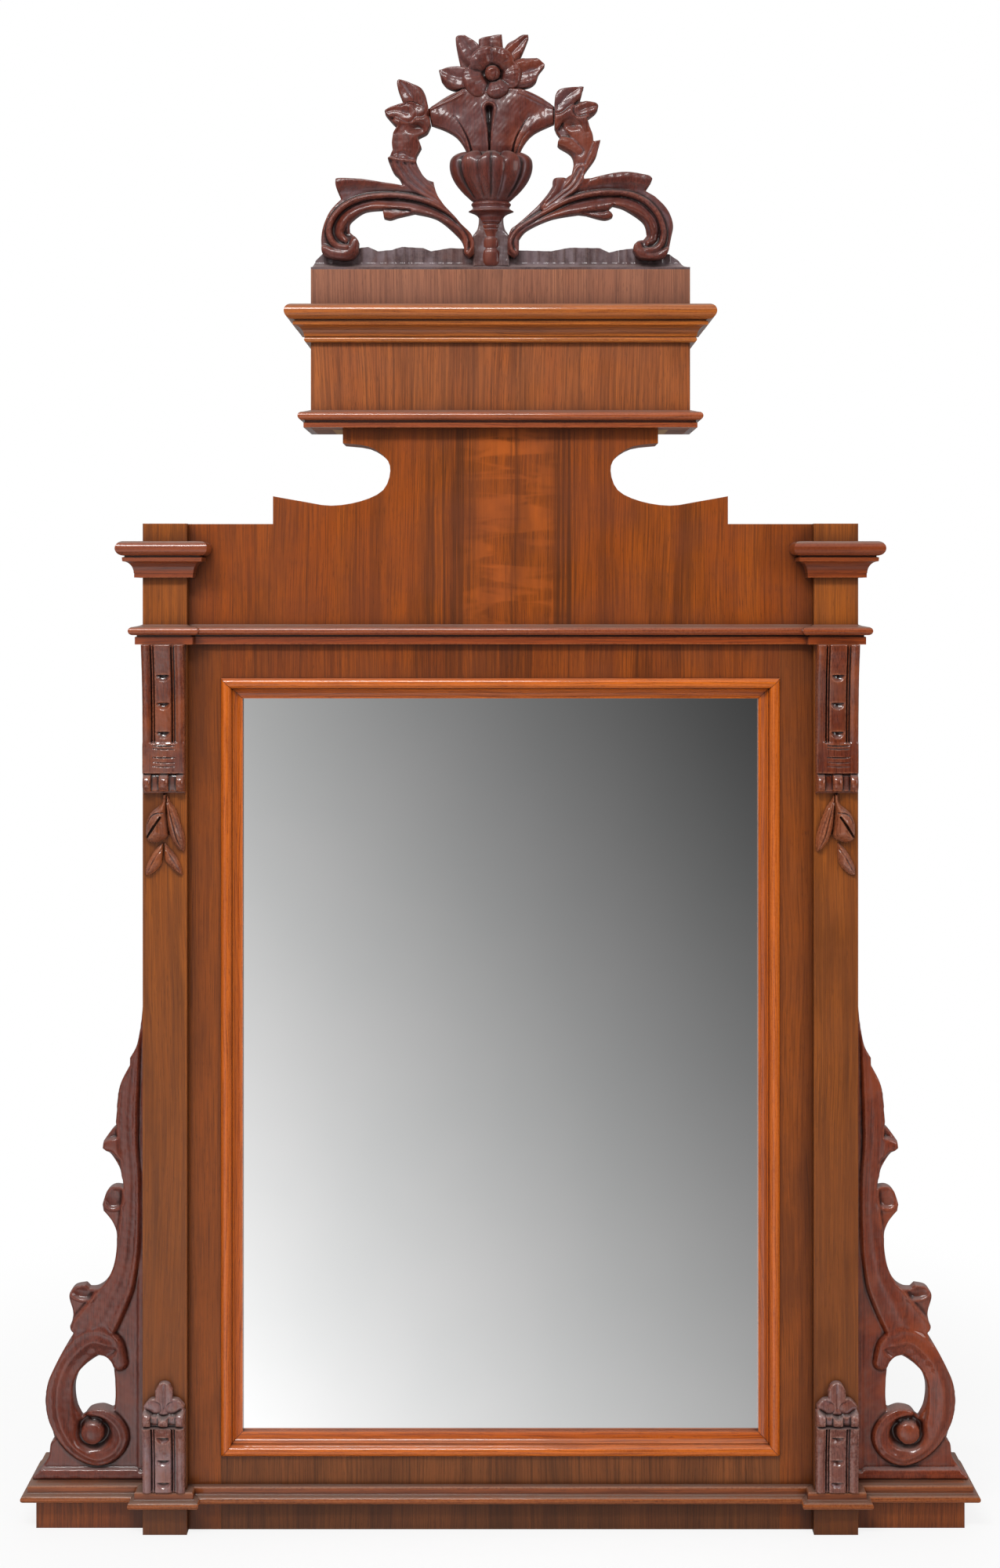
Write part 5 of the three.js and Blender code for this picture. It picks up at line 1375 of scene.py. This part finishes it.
# side wings: outline and strokes as (out from the pilaster, up from the plinth cap)
wing = {
    "outline": [
        [(0, 0), (128, 0)],
        [(128, 3), (121, 9), (112, 22), (109.5, 37), (105, 42)],
        [(105, 43), (111, 68), (114, 88), (111, 108), (104, 125), (93, 146), (83, 162)],
        [(83, 164), (87, 169.5), (84.5, 177), (84.5, 187), (88.5, 203), (83, 213),
         (70.5, 216)],
        [(66, 211.5), (57, 212.5), (47.5, 219.5), (39, 235), (35, 253), (34.5, 271), (40, 287),
         (50, 299)],
        [(51, 306), (46.5, 320.5), (38, 327), (26.5, 326)],
        [(27.5, 335), (32.5, 349), (40.5, 362), (50, 371)],
        [(49, 379), (41, 390), (35.5, 395)],
        [(34.5, 412), (33, 432), (28, 448), (19.5, 464)],
        [(19.5, 472), (12, 486), (8, 506), (5.5, 531)],
        [(0, 531)],
    ],
    "hole": [
        [(39, 129), (44, 135), (53, 137), (64, 131), (75, 122), (82, 108), (83.5, 94),
         (81, 78), (75, 66)],
        [(71.5, 69), (65, 76), (52, 78.5), (41, 75)],
        [(37.5, 78), (36.5, 92), (37, 110)],
    ],
    "strokes": [
        ("steps", [(128, 5.5), (60, 5.5), (2, 5.5)], [6, 6, 6], 3.5, 0),
        ("strip", [(4, 530), (4.5, 342), (5.5, 272), (6.5, 200), (6.5, 14)],
         [3.5, 4, 5, 6, 6], 2, -2.5),
        ("round", [(26.5, 370.5), (38, 374), (47.5, 373)], [15, 10, 6], 4, 0),
        ("ridged", [(9, 519), (15, 478), (21, 430), (22.5, 386), (18.5, 342), (19, 298.5),
                    (23, 254.5), (31, 221), (46, 191.5), (62, 166)],
         [3, 7, 11.5, 13, 11, 11, 13, 16, 21, 26], 5, -0.5),
        ("round", [(31, 130), (39, 146), (52, 157)], [9, 14, 16], 5, 0),
        ("scroll", [(46, 150), (61.5, 153), (80, 139), (93.5, 117), (98.5, 88), (93.5, 60),
                    (79.5, 37), (58, 24.5), (40, 30), (31, 44), (34.5, 58), (46, 68.5),
                    (60, 71)],
         [14, 16, 16, 16, 16, 16, 14, 12, 10.5, 10, 10, 9, 8], 7, -1),
    ],
    # curled lips: centre, radii, turn
    "cups": [((38, 314), (12.5, 13), 0.3), ((73, 207), (14, 8), 0.1)],
    "button": (61, 52),
    "stains": {"left": "wingStain", "right": "rightWingStain"},
}


# A curled lip: a bowl sunk behind a raised crescent on its lower side.
def cupOn(carving, centre, radii, turn, rim, depth):
    offset = carving.points - np.array(centre, float)
    cosine, sine = math.cos(turn), math.sin(turn)
    across = (offset[:, 0] * cosine + offset[:, 1] * sine) / radii[0]
    up = (offset[:, 1] * cosine - offset[:, 0] * sine) / radii[1]
    span = np.hypot(across, up)
    carving.height -= depth * np.clip(1 - span ** 2, 0, 1) ** 0.8
    crescent = np.exp(-((span - 0.95) / 0.16) ** 2) * np.clip(0.35 - up, 0, 1)
    carving.height += rim * crescent


# Pierced wing: fillets by the pilaster, a ridged S-stem with curled lips, and a C-scroll that
# winds round a button.
def makeWing(word, side, look):
    carving = Carving([outlineOf(look["outline"]), outlineOf(look["hole"])], 1.0,
                      wingThickness - 3)
    for kind, path, widths, height, base in look["strokes"]:
        carving.stroke(kind, path, widths, height, wingThickness + base)
    for centre, radii, turn in look["cups"]:
        cupOn(carving, centre, radii, turn, 2.6, 3.5)
    carving.ring(look["button"], (16.5, 16), 5.5, 3.4)
    carving.soften(1.5)
    carving.dome(look["button"], 12.8, 7, wingThickness + 1)
    carving.tooled(0.14, 41)
    carving.piece(f"wing_{word}_carving", f"wing_{word}", wingBack, stains[look["stains"][word]],
                  lambda a, b: (side * (places["outerEdge"] + a), places["plinthTop"] + b),
                  2.6)


for word, side in sides:
    makeWing(word, side, wing)
print("wings carved")

# corbels and drops on the pilasters
corbel = {"width": 46.5, "rib": 9, "centre": 8.4, "notch": 7.6,
          "barrels": [(-18.2, 4.6), (0.2, 5.4), (18.4, 4.6)]}    # middle and half width
# Face: heights and how far each stands forward. Notches: levels, fall and depth. Roll: level,
# radius, base and rise. Lines: level and depth.
corbels = {
    "upper": {
        "outline": [[(-23.25, 0), (23.25, 0)], [(23.25, 165), (-23.25, 165)]],
        "ribs": (55, 166), "stain": "corbelStain", "seed": 51,
        "face": ([0, 20, 23, 60, 100, 130, 150, 158, 165],
                 [4, 5, 10.4, 10.8, 12.4, 15, 18.6, 20.4, 21]),
        "notches": ((131, 100, 68), 7.5, 4.2), "roll": (11.5, 10.5, 5, 10),
        "lines": [(53.5, 1.6), (50, 1.2), (40.5, 1.6), (35, 1.0), (30.5, 1.0)],
        "strokes": [], "foot": (2.4, 3.0),
    },
    "lower": {
        "outline": [
            [(-23.25, 0), (23.25, 0)], [(23.25, 89), (22, 90)],
            [(22.5, 95), (16, 102), (9.5, 103.5)],
            [(9.5, 112), (5.5, 119), (0, 121), (-5.5, 119), (-9.5, 112)],
            [(-9.5, 103.5), (-16, 102), (-22.5, 95)], [(-22, 90), (-23.25, 89)],
        ],
        "ribs": (-3, 74), "stain": "lowCorbelStain", "seed": 61,
        "face": ([0, 10, 40, 62, 74, 78, 88, 90, 121], [11, 11, 11.5, 14, 16.5, 12, 11, 8, 7]),
        "notches": ((62, 36, 11), 6.5, 3.4), "roll": (82, 8.5, 9, 8.5), "lines": [],
        "strokes": [
            ("creased", [(0, 93), (0, 108), (0, 120)], [10, 12, 9], 3.4, 5.5),
            ("round", [(-10, 93), (-19, 97)], [8, 6], 2.6, 6),
            ("round", [(10, 93), (19, 97)], [8, 6], 2.6, 6),
        ],
        "foot": (0, 0),
    },
}
pilasterAxis = (places["pilasterEdge"] + places["outerEdge"]) / 2


# Two outer ribs, two sunk channels with a fillet, and a middle strip, from foot to top.
def corbelFace(carving, foot, top, face):
    a, b = carving.points.T
    across = np.abs(a)
    inner = corbel["width"] / 2 - corbel["rib"]
    channel = np.clip((across - corbel["centre"]) / 1.2, 0, 1) * np.clip(
        (inner - across) / 1.2, 0, 1)
    fillet = np.exp(-((across - (inner + corbel["centre"]) / 2) / 0.8) ** 2)
    sunk = -3.6 * channel + 2.0 * fillet * channel - 0.9 * (across < corbel["centre"])
    rib = (across - inner - corbel["rib"] / 2) / (corbel["rib"] / 2)
    sunk = sunk - 1.5 * rib ** 2 * (across > inner) - 0.5 * (a / corbel["centre"]) ** 2 * (
        across < corbel["centre"])
    share = np.clip((b - foot) / 2.5, 0, 1) * np.clip((top - b) / 1.5, 0, 1)
    carving.height[:] = face(b) + sunk * share


# A scoop under a straight edge: deep at its top, running out in an arc below.
def halfMoon(carving, level, fall, depth):
    a, b = carving.points.T
    down = (level - b) / fall
    span = (a / corbel["notch"]) ** 2 + np.clip(down, 0, None) ** 2
    carving.height -= depth * np.clip(1 - span, 0, 1) * np.clip(down * 8 + 1, 0, 1)


# Three barrels on one axis with hollows hanging between them.
def rollAcross(carving, level, radius, base, rise):
    a, b = carving.points.T
    up = (b - level) / radius
    near = np.abs(up) < 1
    barrel = np.sqrt(np.clip(1 - up ** 2, 0, 1))
    lobes = np.zeros_like(a)
    for middle, half in corbel["barrels"]:
        lobes = np.maximum(lobes, np.sqrt(np.clip(1 - ((a - middle) / half) ** 2, 0, 1)))
    form = base + rise * barrel * (0.35 + 0.65 * np.sqrt(lobes))
    carving.height = np.where(near, form, carving.height)


# Ribbed block with half-moon notches, a roll and, on the lower one, a leaf finial.
def makeCorbel(kind, word, side, bottom):
    look = corbels[kind]
    carving = Carving([outlineOf(look["outline"])], 0.65, 8)
    corbelFace(carving, *look["ribs"], lambda b: np.interp(b, *look["face"]))
    levels, fall, depth = look["notches"]
    for level in levels:
        halfMoon(carving, level, fall, depth)
    for level, depth in look["lines"]:
        carving.stroke("lipped", [(-11.5, level), (0, level - 0.7), (13, level - 0.4)],
                       [0.8, 1.5, 0.8], depth, 0, add=True)
    rollAcross(carving, *look["roll"])
    for form, path, widths, height, base in look["strokes"]:
        carving.stroke(form, path, widths, height, base)
    footHeight, footForward = look["foot"]
    carving.height = np.where(carving.points[:, 1] < footHeight, footForward, carving.height)
    carving.tooled(0.16, look["seed"] + side)
    carving.piece(f"{kind}_corbel_{word}_carving", f"{kind}_corbel_{word}",
                  places["pilasterFace"], stains[look["stain"]],
                  lambda p, q: (side * pilasterAxis + p, bottom + q), 1.3)


drop = {
    "low_left_leaf": {
        "outline": [[(-1.5, -54), (-10.3, -62), (-16.6, -72), (-20.4, -81), (-21, -91)],
                    [(-14, -89.5), (-6.6, -83), (-2.8, -76.8), (-1, -66)]],
        "rise": 6.5, "reach": 3.5, "creases": [([(-3, -62), (-11, -73), (-19, -88)], 2.2, 1.2)],
    },
    "low_right_leaf": {
        "outline": [[(0, -54), (7, -62), (12.6, -69), (17.8, -79), (20.3, -91)],
                    [(13.5, -88), (6, -80.5), (0.4, -74.3), (-0.4, -66)]],
        "rise": 6.5, "reach": 3.5, "creases": [([(3, -62), (9, -72), (18, -86)], 2.2, 1.2)],
    },
    "right_leaf": {
        "outline": [[(2.5, 0), (7.2, -9.3), (12.8, -18), (17.8, -31.8), (22, -45.5),
                     (23, -57), (21.6, -64.5)],
                    [(16, -62), (9.7, -54.3), (5.4, -44.3), (2.8, -31.8), (1.6, -12)]],
        "rise": 9, "reach": 4, "creases": [([(4, -10), (9, -30), (14, -48), (20, -62)], 2.6, 1.8),
                                           ([(8, -16), (14, -34), (19, -50)], 1.6, 0.9)],
    },
    "fruit": {
        "outline": [[(-2, 0), (-2.4, -8), (-6, -13.6), (-11.6, -18), (-17, -23.6),
                     (-20, -30.5), (-21, -39), (-20.6, -47), (-18.6, -52), (-13, -54.6),
                     (-6.6, -54), (1, -50.5), (5, -46)],
                    [(4.4, -38), (3.5, -30.5), (2.6, -20.5), (2.8, -10), (2.4, 0)]],
        "rise": 13, "reach": 6.5,
        "creases": [([(-3.4, -25.5), (-11.6, -38), (-19, -49)], 2.6, 4.2),
                    ([(-1, -21), (-8, -21.5), (-14.5, -25.5), (-18, -33)], 1.8, 1.6)],
    },
}


# A fruit with a diagonal slit under its husk, one tall leaf beside it and two that hang below.
def makeDrop(word, side):
    top = boxOf(f"corbel_drop_{word}")[5]
    for title, look in drop.items():
        if word == "right" and title == "low_right_leaf":    # lost on the real one
            continue
        carving = Carving([outlineOf(look["outline"])], 0.5, 2.5)
        carving.pillow(look["rise"], look["reach"])
        for path, width, depth in look["creases"]:
            carving.stroke("lipped", path, [0.7 * width, width, 0.6 * width], depth, 0, add=True)
        carving.tooled(0.22, 71)
        carving.piece(f"drop_{word}_{title}", f"corbel_drop_{word}", places["pilasterFace"],
                      stains["dropStain"],
                      lambda a, b: (side * (pilasterAxis - a), top + b), 1.8)


for word, side in sides:
    makeCorbel("upper", word, side, boxOf(f"upper_corbel_{word}")[4])
    makeCorbel("lower", word, side, places["plinthTop"])
    makeDrop(word, side)
print("corbels carved")


def plane(name, corners, material):
    mesh = bpy.data.meshes.new(name)
    mesh.from_pydata(corners, [], [(0, 1, 2, 3)])
    piece = bpy.data.objects.new(name, mesh)
    bpy.context.scene.collection.objects.link(piece)
    mesh.materials.append(material)
    return piece


# White to the camera: near the object part of it is real shading, which keeps the shadow.
def floorMaterial():
    material, tree, shader = newMaterial("paleFloor")
    tree.feed(shader.inputs["Base Color"], (0.86, 0.86, 0.86, 1))
    tree.feed(shader.inputs["Roughness"], 0.9)
    glow = tree.add("ShaderNodeEmission", {"Color": (1, 1, 1, 1)})
    path = tree.add("ShaderNodeLightPath").outputs
    away = tree.add("ShaderNodeVectorMath", {0: tree.place()}, operation="LENGTH")
    plain = tree.span(away.outputs["Value"], 0.6, 1.2, 0.84, 1.0)
    seen = tree.math("MAXIMUM", path["Is Camera Ray"], path["Is Glossy Ray"])
    mixed = tree.add("ShaderNodeMixShader", {0: tree.times(seen, plain), 1: shader.outputs[0],
                                             2: glow.outputs[0]})
    tree.feed(tree.tree.nodes["Material Output"].inputs["Surface"], mixed.outputs[0])
    return material


floor = plane("floor", [(-6, -6, 0), (6, -6, 0), (6, 6, 0), (-6, 6, 0)], floorMaterial())
floor.visible_glossy = False


# A grey card that only reflections see: its display grey is a first value and a share of its
# place across, down and across times down.
def cardMaterial(look):
    material, tree, shader = newMaterial("reflectionCard")
    spot = tree.parts(tree.place())
    left, right, low, high = look["edges"]
    across = tree.math("DIVIDE", tree.minus(spot[0], left), right - left)
    down = tree.math("DIVIDE", tree.minus(high, spot[2]), high - low)
    across, down = (tree.math("MINIMUM", tree.math("MAXIMUM", share, -0.15), 1.15)
                    for share in (across, down))
    shade, *slopes = look["greys"]
    for share, slope in zip((across, down, tree.times(across, down)), slopes):
        shade = tree.plus(shade, tree.times(share, slope))
    display = tree.math("DIVIDE", shade, 255.0, clamp=True)
    light = tree.math("POWER", tree.math("DIVIDE", tree.plus(display, 0.055), 1.055), 2.4)
    glow = tree.add("ShaderNodeEmission", {"Color": light, "Strength": 1.14})
    tree.feed(tree.tree.nodes["Material Output"].inputs["Surface"], glow.outputs[0])
    tree.tree.nodes.remove(shader)
    return material


camera = {"x": -0.0005, "y": wallPlane - 2.2, "z": 1.0418, "lens": 43.63, "shift": -0.12}
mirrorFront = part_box("mirror_plate")[0].y
sight = {"left": -0.289, "right": 0.289, "low": 0.105, "high": 0.927}
cardDistance = 2.7
reach = 1 + cardDistance / (mirrorFront - camera["y"])


# Where a ray from the camera that meets the mirror at value meets the card.
def seenFrom(axis, value):
    return camera[axis] + (value - camera[axis]) * reach


reflection = {
    "edges": [seenFrom("x", sight["left"]), seenFrom("x", sight["right"]),
              seenFrom("z", sight["low"]), seenFrom("z", sight["high"])],
    "greys": (166.0, -104.0, 87.0, 18.0),
}
cardY = mirrorFront - cardDistance
card = plane("reflection_card", [(-2.6, cardY, -2.4), (2.6, cardY, -2.4), (2.6, cardY, 2.6),
                                 (-2.6, cardY, 2.6)], cardMaterial(reflection))
for ray in ("camera", "diffuse", "transmission", "shadow", "volume_scatter"):
    setattr(card, f"visible_{ray}", False)


def areaLight(name, look):
    lamp = bpy.data.lights.new(name, "AREA")
    lamp.shape = "RECTANGLE"
    lamp.size, lamp.size_y = look["size"]
    lamp.energy = look["energy"]
    holder = bpy.data.objects.new(name, lamp)
    bpy.context.scene.collection.objects.link(holder)
    holder.location = look["from"]
    direction = Vector(look["at"]) - Vector(look["from"])
    holder.rotation_euler = direction.to_track_quat("-Z", "Y").to_euler()


studio = {
    "level": 0.2, "above": 0.66,
    "lamps": {
        "overhead_soft": {"from": (-0.6, -2.0, 3.0), "at": (0, 0, 0.95), "size": (1.5, 0.4),
                          "energy": 55},
        "left_spot": {"from": (-1.7, -1.5, 2.7), "at": (0, 0, 1.0), "size": (0.25, 0.25),
                      "energy": 7},
        "right_fill": {"from": (2.3, -1.8, 1.7), "at": (0, 0, 0.9), "size": (0.9, 1.3),
                       "energy": 14},
    },
}
for title, look in studio["lamps"].items():
    areaLight(title, look)

# The room: bright overhead, darker level with the eye, plain white behind for the camera.
world = bpy.data.worlds.new("studio")
bpy.context.scene.world = world
world.use_nodes = True
worldTree = Tree(world.node_tree)
skyward = worldTree.parts(worldTree.add("ShaderNodeTexCoord").outputs["Generated"])[2]
background = world.node_tree.nodes["Background"]
worldTree.feed(background.inputs["Color"], (1, 1, 1, 1))
worldTree.feed(background.inputs["Strength"],
               worldTree.span(skyward, -0.1, 0.95, studio["level"], studio["above"]))
plainWhite = worldTree.add("ShaderNodeBackground", {"Color": (1, 1, 1, 1)})
direct = worldTree.add("ShaderNodeLightPath").outputs["Is Camera Ray"]
mixedWorld = worldTree.add("ShaderNodeMixShader", {0: direct, 1: background.outputs[0],
                                                   2: plainWhite.outputs[0]})
worldTree.feed(world.node_tree.nodes["World Output"].inputs["Surface"], mixedWorld.outputs[0])

lens = bpy.data.cameras.new("camera")
lens.sensor_fit = "AUTO"
lens.sensor_width = 36
lens.lens = camera["lens"]
lens.shift_y = camera["shift"]
eye = bpy.data.objects.new("camera", lens)
bpy.context.scene.collection.objects.link(eye)
eye.location = (camera["x"], camera["y"], camera["z"])
eye.rotation_euler = (math.radians(90), 0, 0)
bpy.context.scene.camera = eye
bpy.context.scene.view_settings.view_transform = "Standard"
print("stage ready")
